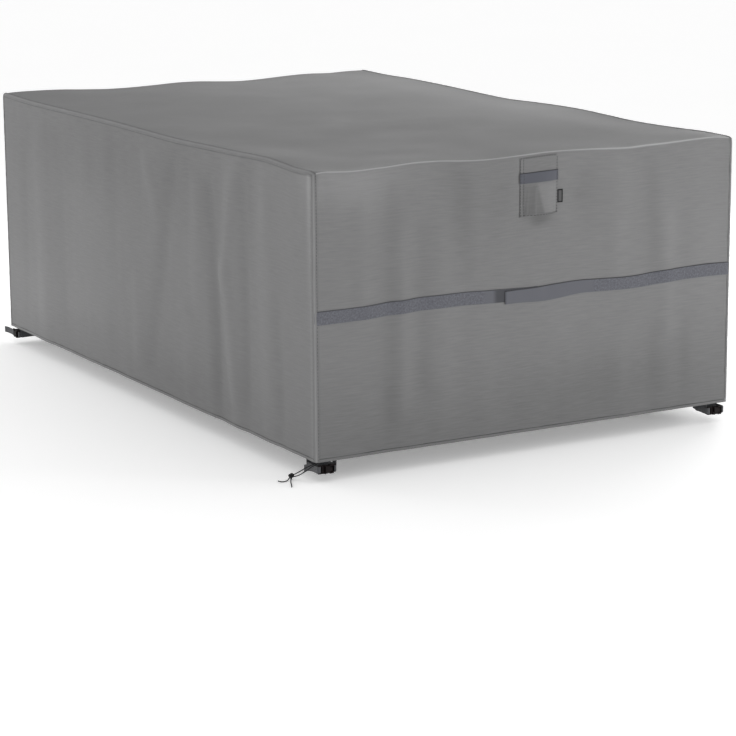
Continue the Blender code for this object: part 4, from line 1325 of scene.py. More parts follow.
@dataclass
class FelledSeam:
    """A raised, top-stitched seam that lies across the corner between the main panel and a wall."""

    side: int
    name: str
    step: float = 0.0070
    fold_step: float = 0.0026
    near_fold: float = 0.016
    overlap: float = 0.0012
    raised: float = 0.0017
    edge: float = 0.0007
    edge_reach: float = 0.0016
    groove: Ridge = Ridge(0.0006, 0.0009)
    stitch_inset: float = 0.0021
    thickness: float = 0.0012
    # Painted light and shade of the band's rows of stitches and of a corner's front.
    roof_row_highlight: Ridge = Ridge(0.28, 0.0014)
    wall_row_shade: Ridge = Ridge(-0.55, 0.0016)
    corner_highlight: Ridge = Ridge(0.0, 0.0050)
    half_columns: tuple[float, ...] = (0.0, 0.0006, 0.0014, 0.0021, 0.0030, 0.0046)
    short_of_hem: float = 0.0006

    @property
    def width(self) -> float:
        """Width of the band over the corner."""
        return pi / 2 * FORM.seam_turn + 2 * self.overlap

    def stand(self, along: Array, across: Array) -> Array:
        """Height of the band over the boxy corner, from its roof edge to its wall edge."""
        from_edge = np.minimum(across, self.width - across)
        crown = self.edge + (self.raised - self.edge) * ease(from_edge / self.edge_reach)
        groove = self.groove.at(from_edge - self.stitch_inset)
        pucker = Grain(0.00035, 0.011, 0.006, 41 + self.side).at(along, across)
        return crown - groove + pucker * ease(from_edge / 0.003)

    def place(self, along: Array, across: Array, over: Array | float) -> Array:
        """Points on the band, or over it."""
        a = self.side * (FORM.seam_x - self.overlap + across)
        return TOP.place(a, along, self.stand(along, across) + over)

    def tone_shift(self, along: Array, across: Array) -> Array:
        """Painted light and shade: along the roof the wall's row of stitches is darker and the roof's row
        paler. Down a corner the front is paler.
        """
        on_roof = ease((np.minimum(along, FORM.over_top - along) - FORM.wall) / 0.02)
        roof_row = self.roof_row_highlight.at(across - self.stitch_inset)
        wall_row = self.wall_row_shade.at(across - self.width + self.stitch_inset)
        crown = self.corner_highlight.at(across - self.corner_highlight.half)
        return on_roof * (roof_row + wall_row) + (1 - on_roof) * crown

    def build(self, material: Finish) -> Piece:
        """Make the band from hem to hem."""
        fold_start, fold_stop = FORM.wall - self.near_fold, FORM.wall + FORM.fold + self.near_fold
        low, back = self.short_of_hem, FORM.over_top
        along = np.concatenate([
            spaced(low, fold_start, self.step), spaced(fold_start, fold_stop, self.fold_step),
            spaced(fold_stop, back - fold_stop, self.step),
            spaced(back - fold_stop, back - fold_start, self.fold_step),
            spaced(back - fold_start, back - low, self.step), [back - low],
        ])
        right = np.array(self.half_columns)
        w, s = np.meshgrid(np.concatenate([right, [self.width / 2], self.width - right[::-1]]), along)
        piece = woven(self.name, self.place(s, w, 0.0), (s, w), (self.side, 0, 1), self.tone_shift(w, s))
        return dress(thicken(piece, self.thickness), material, "cloth")

    def stitch(self, name: str, across: float, material: Finish) -> Piece:
        """Make a row of stitches along the band, at a place across it."""
        rows = Stitching(name, pitch=0.0095, stitch=0.0058, thread=0.00060)
        rows.row(
            lambda along, over: self.place(along, np.full_like(along, across), over),
            0.004, FORM.over_top - 0.008,
        )
        return rows.build(material)


# ---------------------------------------------------------------- what is sewn to the front wall
def up_from_hem(z: Array | float) -> Array | float:
    """A height in the cover's frame as a length up the front wall."""
    return z - FORM.hem_z


class Strap:
    """Where the fastening strap crosses the front wall."""

    top = -0.381
    low = -0.419
    end = FORM.half_x - 0.0010


@dataclass
class StrapHalf:
    """One half of the strap."""

    name: str
    node: str
    start: float
    stop: float
    thickness: float = 0.0016
    stands: float = 0.0020
    lies_on_other: bool = False
    step_low: float = 0.022
    step_high: float = 0.056
    step_rise: float = 0.0019
    droop: float = 0.0038
    droop_from: float = 0.190
    droop_reach: float = 0.110
    end_droop: float = 0.0024
    end_reach: float = 0.030
    slack: Ridge = Ridge(0.16, 0.080)
    slack_at: float = 0.065
    loose_end: float = 0.0
    column: float = 0.007
    rows: tuple[float, ...] = (-1.0, -0.93, -0.80, -0.5, 0.0, 0.5, 0.80, 0.93, 1.0)
    ripple: Grain = Grain(0.0005, 0.045, 0.050, 51)

    def stand(self, x: Array) -> Array:
        """How far the face stands out from the wall along the strap."""
        if not self.lies_on_other:
            return np.full_like(x, self.stands)
        over = ease((self.step_high - x) / (self.step_high - self.step_low))
        lift = self.loose_end * (1 - ease((x - self.start) / self.end_reach))
        return self.stands + self.step_rise * over + lift

    def drop(self, x: Array) -> Array:
        """How much lower the free end hangs."""
        if not self.lies_on_other:
            return np.zeros_like(x)
        at_end = self.end_droop * bell(x - self.start, self.end_reach)
        return self.droop * ease((self.droop_from - x) / self.droop_reach) + at_end

    def build(self, material: Finish) -> Piece:
        """Make the tape, with firm edges and a slight crown."""
        along = np.linspace(self.start, self.stop, round((self.stop - self.start) / self.column))
        middle, half = (Strap.top + Strap.low) / 2, (Strap.top - Strap.low) / 2
        x, v = np.meshgrid(along, np.array(self.rows) * half)
        slack = self.slack.at(x - self.slack_at) * self.lies_on_other
        b = up_from_hem(middle) + v * (1 + slack) - self.drop(x)
        places = TOP.place(x, b, self.stand(x) + tape_crown(v, half) + self.ripple.at(x, v))
        piece = thicken(woven(self.name, places, (x, v), FORWARD), self.thickness)
        return dress(piece, material, "strap", self.node)


@dataclass
class Vent:
    """A hood that is open below, a band across it and a bare tab beside it."""

    left: float = -0.043
    right: float = 0.084
    top: float = -0.007
    low: float = -0.175
    thick: float = 0.0010
    gap: float = 0.0019
    stands: float = 0.027
    seam: float = 0.007
    lean: float = 1.30
    roundness: float = 0.75
    swell: float = 1.4
    slant: float = 0.10
    gathers_fine: Grain = Grain(0.0008, 0.0052, 0.200, 61)
    gathers_wide: Grain = Grain(0.0007, 0.0110, 0.150, 62)
    gathered_to: float = 0.50
    gathered_lean: float = 0.8
    fold: Ridge = Ridge(0.0014, 0.006)
    mouth_rise: float = -0.0055
    mouth_lean: float = -0.0060
    mouth_reach: float = 0.08
    edge_bead: Ridge = Ridge(0.0003, 0.0010)
    edge_sink: Ridge = Ridge(-0.0008, 0.0016)
    column: float = 0.0016
    band_top: float = -0.050
    band_low: float = -0.080
    band_rows: tuple[float, ...] = (-1.0, -0.92, -0.75, -0.4, 0.0, 0.4, 0.75, 0.92, 1.0)
    band_thick: float = 0.0014
    tab_left: float = 0.0848
    tab_right: float = 0.1018
    tab_top: float = -0.108
    tab_low: float = -0.1458
    tab_thick: float = 0.0008
    tab_stand: float = 0.0013
    tab_lift: float = 0.0016
    # Painted shade of the gathered left part and painted light of the right part.
    left_shade: float = -0.10
    right_highlight: float = 0.16
    border_at: float = 0.375
    border_lean: float = 0.12
    band_over: float = 0.0021
    outer_row: float = 0.0020
    inner_row: float = 0.0120
    top_row: float = 0.0025
    mouth_row: float = 0.0045

    def across(self, x: Array) -> Array:
        """Share of the hood's width from its left edge."""
        return (x - self.left) / (self.right - self.left)

    def hood_stand(self, x: Array, z: Array) -> Array:
        """The hood lies on the wall along its top and sides, and stands off towards its open edge."""
        inner = self.right - self.left - 2 * self.seam
        across = np.clip((x - self.left - self.seam) / inner, 0.0, 1.0)
        down = np.clip((self.top - z) / (self.top - self.low), 0.0, 1.0)
        belly = np.sin(pi * across ** self.lean) ** self.roundness
        return self.gap + self.stands * belly * down ** self.swell

    def gathers(self, x: Array, z: Array) -> Array:
        """Fine upright gathers in the left part of the hood, below the band."""
        across, up = self.across(x), z - self.low
        below = ease((self.band_low - z) / 0.020)
        slant = x - self.slant * up
        fine = self.gathers_fine.at(slant, z) + self.gathers_wide.at(slant, z)
        left_part = ease((self.gathered_to - across - self.gathered_lean * up) / 0.18) * ease(across / 0.08)
        return (fine * left_part + self.fold.at(slant + 0.004) * below) * below

    def tone_shift(self, x: Array, z: Array) -> Array:
        """Painted light and shade: the gathered left part, turned from the light, is darker, and the right
        part, which bellies out, is paler.
        """
        below = ease((self.band_low + 0.004 - z) / 0.018)
        down = np.clip((self.band_low - z) / (self.band_low - self.low), 0.0, 1.0)
        right_part = ease((self.across(x) - (self.border_at + self.border_lean * down)) / 0.10)
        fine = Grain(0.035, 0.0040, 0.200, 64).at(x - self.slant * (z - self.low), z)
        return (self.left_shade + fine + (self.right_highlight - self.left_shade - fine) * right_part) * below

    def hood(self, material: Finish) -> Piece:
        """Make the hood, with its lower edge turned in."""
        along = np.concatenate([
            [self.left, self.left + 0.0015], spaced(self.left + 0.0035, self.right - 0.0035, self.column),
            [self.right - 0.0035, self.right - 0.0015, self.right],
        ])
        groove = Ridge(0.0004, 0.0011)
        turn = Hem(
            turn_up=0.009, layer=0.0020, stitch_line=self.mouth_row, raised=0.0004, groove=groove
        )
        height = self.top - self.low
        rows, inside, _ = turn.turned(np.concatenate([
            [0.0022, 0.0036, 0.0045, 0.0056], spaced(0.0075, height, 0.0022), [height],
        ]))
        x, rise = np.meshgrid(along, rows)
        across = self.across(x)
        curve = self.mouth_rise * np.sin(pi * across) + self.mouth_lean * across
        z = self.low + rise - curve * (1 - ease(rise / self.mouth_reach))
        edge = np.minimum(x - self.left, self.right - x)
        firm = self.edge_bead.at(edge - 0.0012) + self.edge_sink.at(edge)
        over = turn.relief(rise, x) * 0.6 + firm - inside[:, None] * ease(edge / 0.002)
        piece = woven("vent_hood_cloth", self.on_hood(x, z, over), (x, z), FORWARD, self.tone_shift(x, z))
        return dress(thicken(piece, self.thick), material, "cloth", "vent_hood")

    def on_hood(self, x: Array, z: Array, over: Array | float) -> Array:
        """Points over the hood."""
        return TOP.place(x, up_from_hem(z), self.hood_stand(x, z) + self.gathers(x, z) + over)

    def band(self, material: Finish) -> Piece:
        """Make the band across the hood."""
        along = np.linspace(self.left - 0.001, self.right + 0.0008, 56)
        half = (self.band_top - self.band_low) / 2
        x, v = np.meshgrid(along, np.array(self.band_rows) * half)
        z = (self.band_top + self.band_low) / 2 + v
        hood = self.hood_stand(np.clip(x, self.left, self.right), z)
        places = TOP.place(x, up_from_hem(z), hood + self.band_over + tape_crown(v, half))
        piece = thicken(woven("vent_band_tape", places, (x, v), FORWARD), self.band_thick)
        return dress(piece, material, "strap", "vent_band")

    def tab(self, material: Finish) -> Piece:
        """Make the bare tab, which lifts a little at its free side."""
        half_x, half_z = (self.tab_right - self.tab_left) / 2, (self.tab_top - self.tab_low) / 2
        u, v = np.meshgrid(np.linspace(-half_x, half_x, 15), np.linspace(-half_z, half_z, 25))
        lift = self.tab_stand + self.tab_lift * ((u + half_x) / (2 * half_x)) ** 1.5
        lift = lift + Grain(0.0004, 0.012, 0.014, 63).at(u, v)
        x, z = (self.tab_left + self.tab_right) / 2 + u, (self.tab_top + self.tab_low) / 2 + v
        places = TOP.place(x, up_from_hem(z), lift)
        piece = thicken(woven("bare_tab", places, (u, v), FORWARD), self.tab_thick)
        return dress(piece, material, "label", "label_tab")

    def stitch(self, rows: Stitching) -> None:
        """Two rows down the left side, one down the right, and one along the top and the open edge."""
        end = 0.002
        for at in (self.left + self.outer_row, self.left + self.inner_row, self.right - self.outer_row):
            for lift, start, stop in (
                (0.0, self.low + end, self.band_low), (0.0, self.band_top, self.top - end),
                (self.band_over, self.band_low + end, self.band_top - end),
            ):
                rows.row(lambda z, over: self.on_hood(np.full_like(z, at), z, over + lift), start, stop)
        for at in (self.top - self.top_row, self.low + self.mouth_row):
            rows.row(
                lambda x, over: self.on_hood(x, np.full_like(x, at), over),
                self.left + end, self.right - 2 * end,
            )


# ---------------------------------------------------------------- corners: webbing and buckles
class TailLay(Enum):
    """How the free end of a corner's webbing lies."""

    WRAPPED = "wrapped"
    RAISED = "raised"
    STRAIGHT = "straight"


class TailPoint(NamedTuple):
    """A place of a tail in plan, the lift of its middle and its half width."""

    x: float
    y: float
    lift: float
    half: float = 0.0100


THREADED = rows_of(TailPoint, (
    (-0.0205, -0.0318, 0.000, 0.0088), (-0.0222, -0.0352, 0.000, 0.0088),
    (-0.0250, -0.0376, 0.000, 0.0088), (-0.0285, -0.0378, 0.000, 0.0092),
))
TAILS = {
    TailLay.WRAPPED: rows_of(TailPoint, (
        (-0.0312, -0.0352, 0.000), (-0.0312, -0.0290, 0.000), (-0.0309, -0.0200, 0.000),
        (-0.0308, 0.0000, -0.001), (-0.0318, 0.0150, -0.003), (-0.0340, 0.0260, -0.006),
        (-0.0365, 0.0330, -0.0085),
    )),
    TailLay.RAISED: rows_of(TailPoint, (
        (-0.0318, -0.0360, 0.000), (-0.0328, -0.0318, 0.000), (-0.0328, -0.0250, 0.001),
        (-0.0328, 0.0000, 0.003), (-0.0336, 0.0150, 0.005), (-0.0360, 0.0300, 0.007),
    )),
    TailLay.STRAIGHT: rows_of(TailPoint, (
        (-0.0315, -0.0368, 0.000), (-0.0370, -0.0362, 0.000), (-0.0470, -0.0373, 0.001),
        (-0.0580, -0.0395, 0.002), (-0.0680, -0.0425, 0.003), (-0.0780, -0.0460, 0.003),
    )),
}


@dataclass
class CornerTie:
    """The webbing, buckle, free tail and hangers of one corner."""

    label: str
    side_x: int
    side_y: int
    turn: float
    lay: TailLay
    square_x: float = 0.0280
    square_y: float = 0.0295
    inset: float = 0.0100
    webbing: float = 0.0016
    middle: float = -0.8250
    half: float = 0.0100
    bend: float = 0.0060
    loop_gap: float = 0.0150
    hanger_top: float = -0.757
    hanger_hem: float = -0.7965
    hanger_flange: float = 0.020
    hanger_tongue: float = 0.020
    cloth_depth: float = 0.002
    gap: float = 0.00035

    @property
    def swapped(self) -> bool:
        """True where the buckle lies on a side wall's line."""
        return abs(self.turn) == 90.0

    @property
    def halves(self) -> tuple[float, float]:
        """Half the webbing's empty square along x and y of the cover."""
        return (self.square_y, self.square_x) if self.swapped else (self.square_x, self.square_y)

    def to_cover(self) -> Matrix:
        """From the corner's own plan to the cover's frame."""
        half_x, half_y = self.halves
        x = self.side_x * (FORM.half_x - self.inset - half_x)
        y = self.side_y * (FORM.half_y - self.inset - half_y)
        return Matrix.Translation((x, y, 0.0)) @ Matrix.Rotation(radians(self.turn), 4, "Z")

    def ribbon(
        self, kind: str, plan: Array, low: Array | float, high: Array | float, material: Finish,
        node: str = "", matrix: Matrix | None = None,
    ) -> Piece:
        """A standing strip of webbing.

        Args:
            kind: what it is, for the piece's name.
            plan: x and y of the strip's middle line, point by point.
            low, high: the strip's lower and upper edge, or the edge at each point.
            material: its finish.
            node: the CAD node that it stands for.
            matrix: from the plan to the cover's frame, if the plan isn't the corner's own.

        Returns:
            The new piece.
        """
        low, high = (np.broadcast_to(edge, len(plan)) for edge in (low, high))
        share = np.array([0.0, 0.08, 0.3, 0.5, 0.7, 0.92, 1.0])
        heights = low + (high - low) * share[:, None]
        x, y = (np.broadcast_to(part, heights.shape) for part in plan.T)
        cloth = (way(plan), heights - (low + high) / 2)
        piece = woven(f"webbing_{kind}", np.stack([x, y, heights], axis=-1), cloth)
        piece.data.transform(self.to_cover() if matrix is None else matrix)
        piece = round_edges(thicken(piece, self.webbing, offset=0.0), 0.0003)
        return dress(piece, material, "webbing", *([node] if node else []))

    def loop(self, material: Finish) -> Piece:
        """The webbing round the empty square."""
        reach_y = self.square_y + self.webbing / 2
        across = self.square_x + self.webbing / 2 - self.bend
        along = reach_y - self.bend
        plan = [(-self.loop_gap, -reach_y)]
        for x, y, start in (
            (-across, -along, 270), (-across, along, 180), (across, along, 90), (across, -along, 0),
        ):
            turns = np.radians(np.linspace(start, start - 90, 8))
            plan += [(x + self.bend * cos(turn), y + self.bend * sin(turn)) for turn in turns]
        plan += [(self.loop_gap, -reach_y)]
        low = self.middle - self.half
        return self.ribbon(
            f"loop_{self.label}", np.array(plan), low, low + 2 * self.half, material, f"webbing_{self.label}"
        )

    def tail(self, material: Finish) -> Piece:
        """The free end, from inside the plug's slot, over its bar and on."""
        rows = spline(THREADED + TAILS[self.lay], 0.0020)
        middle, half = self.middle + rows[:, 2], rows[:, 3]
        return self.ribbon(
            f"tail_{self.label}", rows[:, :2], middle - half, middle + half, material, f"tail_{self.label}"
        )

    def hangers(self, material: Finish) -> list[Piece]:
        """Two angles of webbing that join the loop to the walls, inside the hem."""
        half_x, half_y = self.halves
        made = []
        for letter, width, swap in (("a", 2 * half_x, False), ("b", 2 * half_y, True)):
            wall = self.cloth_depth + self.gap + self.webbing / 2
            face = self.inset + width + 1.5 * self.webbing + self.gap
            plan = spline([
                (face + self.hanger_flange, wall), (face + 0.006, wall), (face + 0.0012, wall + 0.0012),
                (face, wall + 0.0045), (face, self.inset), (face, self.inset + self.hanger_tongue),
            ], 0.0016)
            tongue = ease((plan[:, 1] - self.inset + 0.0010) / 0.0010)
            low = self.hanger_hem + (self.middle - self.half - self.hanger_hem) * tongue
            out = plan[:, ::-1] if swap else plan
            route = (np.array((FORM.half_x, FORM.half_y)) - out) * (self.side_x, self.side_y)
            made.append(self.ribbon(
                f"hanger_{self.label}_{letter}", route, low, self.hanger_top, material,
                f"hanger_{self.label}_{letter}", Matrix.Identity(4),
            ))
        return made


def slab(bm: bmesh.types.BMesh, low: Sequence[float], high: Sequence[float]) -> list[bmesh.types.BMVert]:
    """Add a box between two corners and return its points."""
    middle = (Vector(low) + Vector(high)) / 2
    size = Vector(high) - Vector(low)
    place = Matrix.Translation(middle) @ Matrix.Diagonal((*size, 1.0))
    return bmesh.ops.create_cube(bm, size=1.0, matrix=place)["verts"]


def facing(verts: Sequence[bmesh.types.BMVert], ahead: Vector) -> list[bmesh.types.BMFace]:
    """The faces of a new box that look a certain way."""
    faces = {face for vert in verts for face in vert.link_faces}
    for face in faces:
        face.normal_update()
    return [face for face in faces if face.normal.dot(ahead) > 0.9]


@dataclass
class Buckle:
    """A side-release buckle on the -Y face of a corner's empty square."""

    tie: CornerTie
    half: float = 0.0130
    plug_length: float = 0.0195
    plug_thick: float = 0.0052
    plug_inset: float = 0.0015
    socket_length: float = 0.0265
    socket_thick: float = 0.0105
    socket_bar: float = 0.0095
    socket_bar_thick: float = 0.0050
    shell: float = 0.0030
    side: float = 0.0042
    window: tuple[float, float] = (0.0020, 0.0142)
    slot_half: float = 0.0092
    slot_length: float = 0.0075
    bar_width: float = 0.0040
    prong_reach: float = 0.0120
    prong_width: float = 0.0034
    prong_half: float = 0.0020
    rib_pitch: float = 0.0022
    arch_half: float = 0.0056
    edge_round: float = 0.0005

    def __post_init__(self) -> None:
        """Work out the back face and, along the buckle, where its parts start and stop."""
        self.back = -(self.tie.square_y + self.tie.webbing + self.tie.gap)
        self.start = -self.tie.square_x - self.plug_inset
        self.joint = self.start + self.plug_length
        self.body = self.joint + self.tie.gap + self.socket_length
        self.end = self.body + self.socket_bar

    def frame_round_slot(
        self, bm: bmesh.types.BMesh, start: float, stop: float, slot: tuple[float, float],
        depth: tuple[float, float], half: float,
    ) -> None:
        """A flat frame with a slot: two side rails, and a bar at each end of the slot."""
        near, far = depth
        overlap = 0.0005
        rail_start, rail_stop = slot[0] - overlap, slot[1] + overlap
        for x0, x1, z0, z1 in (
            (start, slot[0], -half, half), (slot[1], stop, -half, half),
            (rail_start, rail_stop, self.slot_half, half), (rail_start, rail_stop, -half, -self.slot_half),
        ):
            slab(bm, (x0, near, self.tie.middle + z0), (x1, far, self.tie.middle + z1))

    def moulded(self, part: str, bm: bmesh.types.BMesh, material: Finish) -> Piece:
        """A moulded piece from its mesh, in the cover's frame."""
        bmesh.ops.transform(bm, matrix=self.tie.to_cover(), verts=bm.verts)
        bmesh.ops.recalc_face_normals(bm, faces=bm.faces)
        name = f"buckle_{part}_{self.tie.label}"
        mesh = bpy.data.meshes.new(name)
        bm.to_mesh(mesh)
        bm.free()
        piece = round_edges(added(name, mesh), self.edge_round)
        return dress(piece, material, "plastic", f"buckle_{self.tie.label}_{part}")

    def bar_wrap(self, material: Finish) -> Piece:
        """The fixed end of the webbing, sewn round the socket's bar."""
        back, outside = self.back, self.end + 0.0010
        front = back - self.socket_bar_thick - 0.0011
        slot = self.end - self.bar_width - 0.0014
        plan = spline([
            (slot, back + 0.0002), (slot, back - 0.0025), (slot + 0.0003, front + 0.0010),
            (slot + 0.0018, front), (outside - 0.0014, front), (outside, front + 0.0016),
            (outside, back - 0.0018), (outside - 0.0012, back - 0.0002),
        ], 0.0011)
        half = self.slot_half - 0.0005
        low = self.tie.middle - self.slot_half + 0.0005
        return self.tie.ribbon(f"wrap_{self.tie.label}", plan, low, low + 2 * half, material)

    def plug(self, material: Finish) -> Piece:
        """The plug: a slotted plate, ribs for the fingers and two sprung prongs."""
        back, joint, middle = self.back, self.joint, self.tie.middle
        front, rib_half = back - self.plug_thick, self.half - 0.002
        bm = bmesh.new()
        slot = (self.start + self.bar_width, self.start + self.bar_width + self.slot_length)
        self.frame_round_slot(bm, self.start, joint, slot, (front, back), self.half - 0.0006)
        for index in range(3):
            rib = slot[1] + 0.0014 + index * self.rib_pitch
            low = (rib, front - 0.0005, middle - rib_half)
            slab(bm, low, (rib + 0.0010, front + 0.0005, middle + rib_half))
        prong_y, tip_x = back - self.socket_thick / 2, joint + self.prong_reach
        for side in (-1, 1):
            edge = middle + side * (self.half - 0.0004)
            low, high = sorted((edge, edge - side * self.prong_width))
            verts = slab(
                bm, (joint - 0.003, prong_y - self.prong_half, low), (tip_x, prong_y + self.prong_half, high)
            )
            tip = facing(verts, Vector((1, 0, 0)))
            to_tip = Matrix.Translation((-tip_x, -prong_y, -edge))
            bmesh.ops.scale(bm, vec=(1.0, 0.8, 0.45), verts=tip[0].verts, space=to_tip)
        return self.moulded("plug", bm, material)

    def socket(self, material: Finish) -> Piece:
        """The socket: an arched body with open sides for the prongs, and a slotted bar."""
        back, body, middle = self.back, self.body, self.tie.middle
        start, front = self.joint + self.tie.gap, back - self.socket_thick
        low, high = middle - self.half, middle + self.half
        open_from, open_to = (self.joint + place for place in self.window)
        inner_low, inner_high = low + self.side, high - self.side
        bm = bmesh.new()
        for near, far in ((front, front + self.shell), (back - self.shell, back)):
            slab(bm, (start, near, inner_low), (body, far, inner_high))
            slab(bm, (start, near, low), (open_from, far, high))
            slab(bm, (open_to, near, low), (body, far, high))
        slab(
            bm, (start + 0.0004, front + 0.0010, inner_low - 0.0006),
            (body - 0.0002, back - 0.0010, inner_high + 0.0006),
        )
        slab(bm, (open_to, front + 0.0008, low), (body - 0.0003, back - 0.0008, high))
        arch = slab(
            bm, (start + 0.0050, front - 0.0006, middle - self.arch_half),
            (body - 0.0040, front + 0.0010, middle + self.arch_half),
        )
        panel = facing(arch, Vector((0, -1, 0)))
        bmesh.ops.inset_individual(bm, faces=panel, thickness=0.0012, depth=0.0)
        bmesh.ops.translate(bm, vec=(0.0, 0.0005, 0.0), verts=panel[0].verts)
        self.frame_round_slot(
            bm, body - 0.0010, self.end, (body + 0.0010, self.end - self.bar_width),
            (back - self.socket_bar_thick, back - 0.0004), self.half - 0.0018,
        )
        return self.moulded("socket", bm, material)


CORNERS = (
    CornerTie("front_left", -1, -1, 0.0, TailLay.WRAPPED),
    CornerTie("front_right", 1, -1, 0.0, TailLay.RAISED),
    CornerTie("back_left", -1, 1, -90.0, TailLay.STRAIGHT),
    CornerTie("back_right", 1, 1, 180.0, TailLay.WRAPPED),
)


# ---------------------------------------------------------------- drawcord
@dataclass
class Drawcord:
    """A black cord whose two strands leave the hem at a corner, meet in a knot and end loose."""

    radius: float = 0.0016
    step: float = 0.0030
    knot_at: Point = (-0.7440, -1.0235, -0.8515)
    knot_size: float = 0.0023
    knot_radius: float = 0.0025
    knot_stretch: Point = (0.86, 1.4, 1.14)
    first: tuple[Point, ...] = (
        (-0.7005, -1.0865, -0.7925), (-0.7007, -1.0863, -0.8040), (-0.7060, -1.0835, -0.8095),
        (-0.7145, -1.0735, -0.8165), (-0.7230, -1.0600, -0.8260), (-0.7330, -1.0430, -0.8385),
        (-0.7415, -1.0285, -0.8480), (-0.7455, -1.0245, -0.8520), (-0.7502, -1.0260, -0.8543),
        (-0.7560, -1.0305, -0.8575), (-0.7630, -1.0345, -0.8600), (-0.7710, -1.0375, -0.8600),
        (-0.7785, -1.0380, -0.8600), (-0.7850, -1.0360, -0.8590), (-0.7915, -1.0345, -0.8565),
    )
    second: tuple[Point, ...] = (
        (-0.6960, -1.0925, -0.7925), (-0.6962, -1.0923, -0.8050), (-0.7010, -1.0905, -0.8085),
        (-0.7115, -1.0800, -0.8185), (-0.7220, -1.0640, -0.8330), (-0.7320, -1.0455, -0.8460),
        (-0.7405, -1.0294, -0.8528), (-0.7432, -1.0262, -0.8545), (-0.7465, -1.0292, -0.8557),
        (-0.7545, -1.0410, -0.8590), (-0.7610, -1.0530, -0.8600), (-0.7680, -1.0680, -0.8600),
        (-0.7750, -1.0840, -0.8600), (-0.7830, -1.0990, -0.8600),
    )

    def knot_route(self) -> Array:
        """An overhand knot's centreline, drawn tight and slightly taller than wide."""
        t = np.linspace(0.15, 2 * pi - 0.15, 60)
        x, y, z = np.sin(t) + 2 * np.sin(2 * t), -np.sin(3 * t), np.cos(t) - 2 * np.cos(2 * t)
        shape = np.stack([x, y, z], axis=-1) * self.knot_size
        return np.array(self.knot_at) + shape * np.array(self.knot_stretch)

    def build(self, material: Finish) -> list[Piece]:
        knot = tube("drawcord_knot", self.knot_route(), self.knot_radius)
        knot = dress(knot, material, "cord", "cord_knot")
        made = [knot]
        for index, points in ((1, self.first), (2, self.second)):
            route = spline(points, self.step)
            nodes = f"cord_strand_{index}", f"cord_tail_{index}"
            piece = dress(tube(f"drawcord_{index}", route, self.radius), material, "cord", *nodes)
            made.append(piece)
        return made


# ---------------------------------------------------------------- studio
@dataclass(frozen=True)
class PhotoCamera:
    """The camera that took the reference photograph, in the cover's frame."""

    place: Point = (-4.0648, -7.2706, 1.0414)
    azimuth: float = -29.74
    elevation: float = 12.646
    roll: float = -0.38
    focal_px: float = 2631.2
    image_px: float = 736.0
    sensor: float = 36.0

    def build(self) -> None:
        """Make the camera and hand it to the scene."""
        data = bpy.data.cameras.new("photo camera")
        data.sensor_width = self.sensor
        data.lens = self.sensor * self.focal_px / self.image_px
        data.clip_end = 200.0
        camera = added("photo camera", data)
        turn = Matrix.Rotation(radians(self.azimuth), 4, "Z")
        tilt = Matrix.Rotation(radians(90 - self.elevation), 4, "X")
        roll = Matrix.Rotation(radians(self.roll), 4, "Z")
        camera.matrix_world = Matrix.Translation(self.place) @ (turn @ tilt) @ roll
        bpy.context.scene.camera = camera


class SoftBox(NamedTuple):
    """A square area light: where it stands, what it looks at, its size and its power."""

    name: str
    place: Point
    aim: Point
    size: float
    power: float


@dataclass
class Studio:
    """A white floor and soft light from all round."""

    floor_z: float = -0.8625
    floor_size: float = 60.0
    floor_glow: float = 0.24
    floor_tone: float = 0.95
    floor_mottle: float = 0.01
    sky: float = 0.775
    boxes: tuple[SoftBox, ...] = (
        SoftBox("left back box", (-2.8, 2.4, -0.1), (-0.7, 0.9, -0.5), 1.0, 22.5),
        SoftBox("left front box", (-3.4, -3.0, -0.3), (-0.7, -0.6, -0.4), 1.0, 28.0),
        SoftBox("right front box", (3.2, -4.2, -0.3), (0.6, -1.0, -0.4), 1.0, 84.0),
        SoftBox("right box", (2.8, 0.4, 0.45), (0.5, 0.2, 0.0), 0.9, 18.0),
        SoftBox("right back box", (3.4, 1.8, 0.35), (0.6, 0.0, 0.0), 0.8, 18.0),
        SoftBox("roof box", (1.35, 2.1, 1.5), (0.45, 0.9, 0.0), 0.9, 10.0),
    )

    def build(self) -> None:
        """Make the floor, the world and the lights."""
        bpy.context.scene.view_settings.view_transform = "Standard"
        world = bpy.data.worlds.new("white room")
        bpy.context.scene.world = world
        world.use_nodes = True
        background = world.node_tree.nodes["Background"].inputs
        background["Color"].default_value = (*WHITE, 1.0)
        background["Strength"].default_value = self.sky
        bm = bmesh.new()
        bmesh.ops.create_grid(bm, x_segments=1, y_segments=1, size=self.floor_size / 2)
        bmesh.ops.translate(bm, vec=(0.0, 0.0, self.floor_z), verts=bm.verts)
        mesh = bpy.data.meshes.new("floor")
        bm.to_mesh(mesh)
        bm.free()
        bench = Bench("white floor")
        tone = bench.noise(bench.object_place(), 1.5, 2.0)
        darkest, palest = self.floor_tone - self.floor_mottle, self.floor_tone + self.floor_mottle
        white = bench.tones(tone, WHITE, darkest, palest)
        mesh.materials.append(bench.surface(
            white, 0.7, Specular_IOR_Level=0.2, Emission_Color=WHITE, Emission_Strength=self.floor_glow
        ))
        added("floor", mesh)
        for box in self.boxes:
            data = bpy.data.lights.new(box.name, "AREA")
            data.size = box.size
            data.energy = box.power
            light = added(box.name, data)
            light.location = box.place
            aim = Vector(box.aim) - Vector(box.place)
            light.rotation_euler = aim.to_track_quat("-Z", "Y").to_euler()


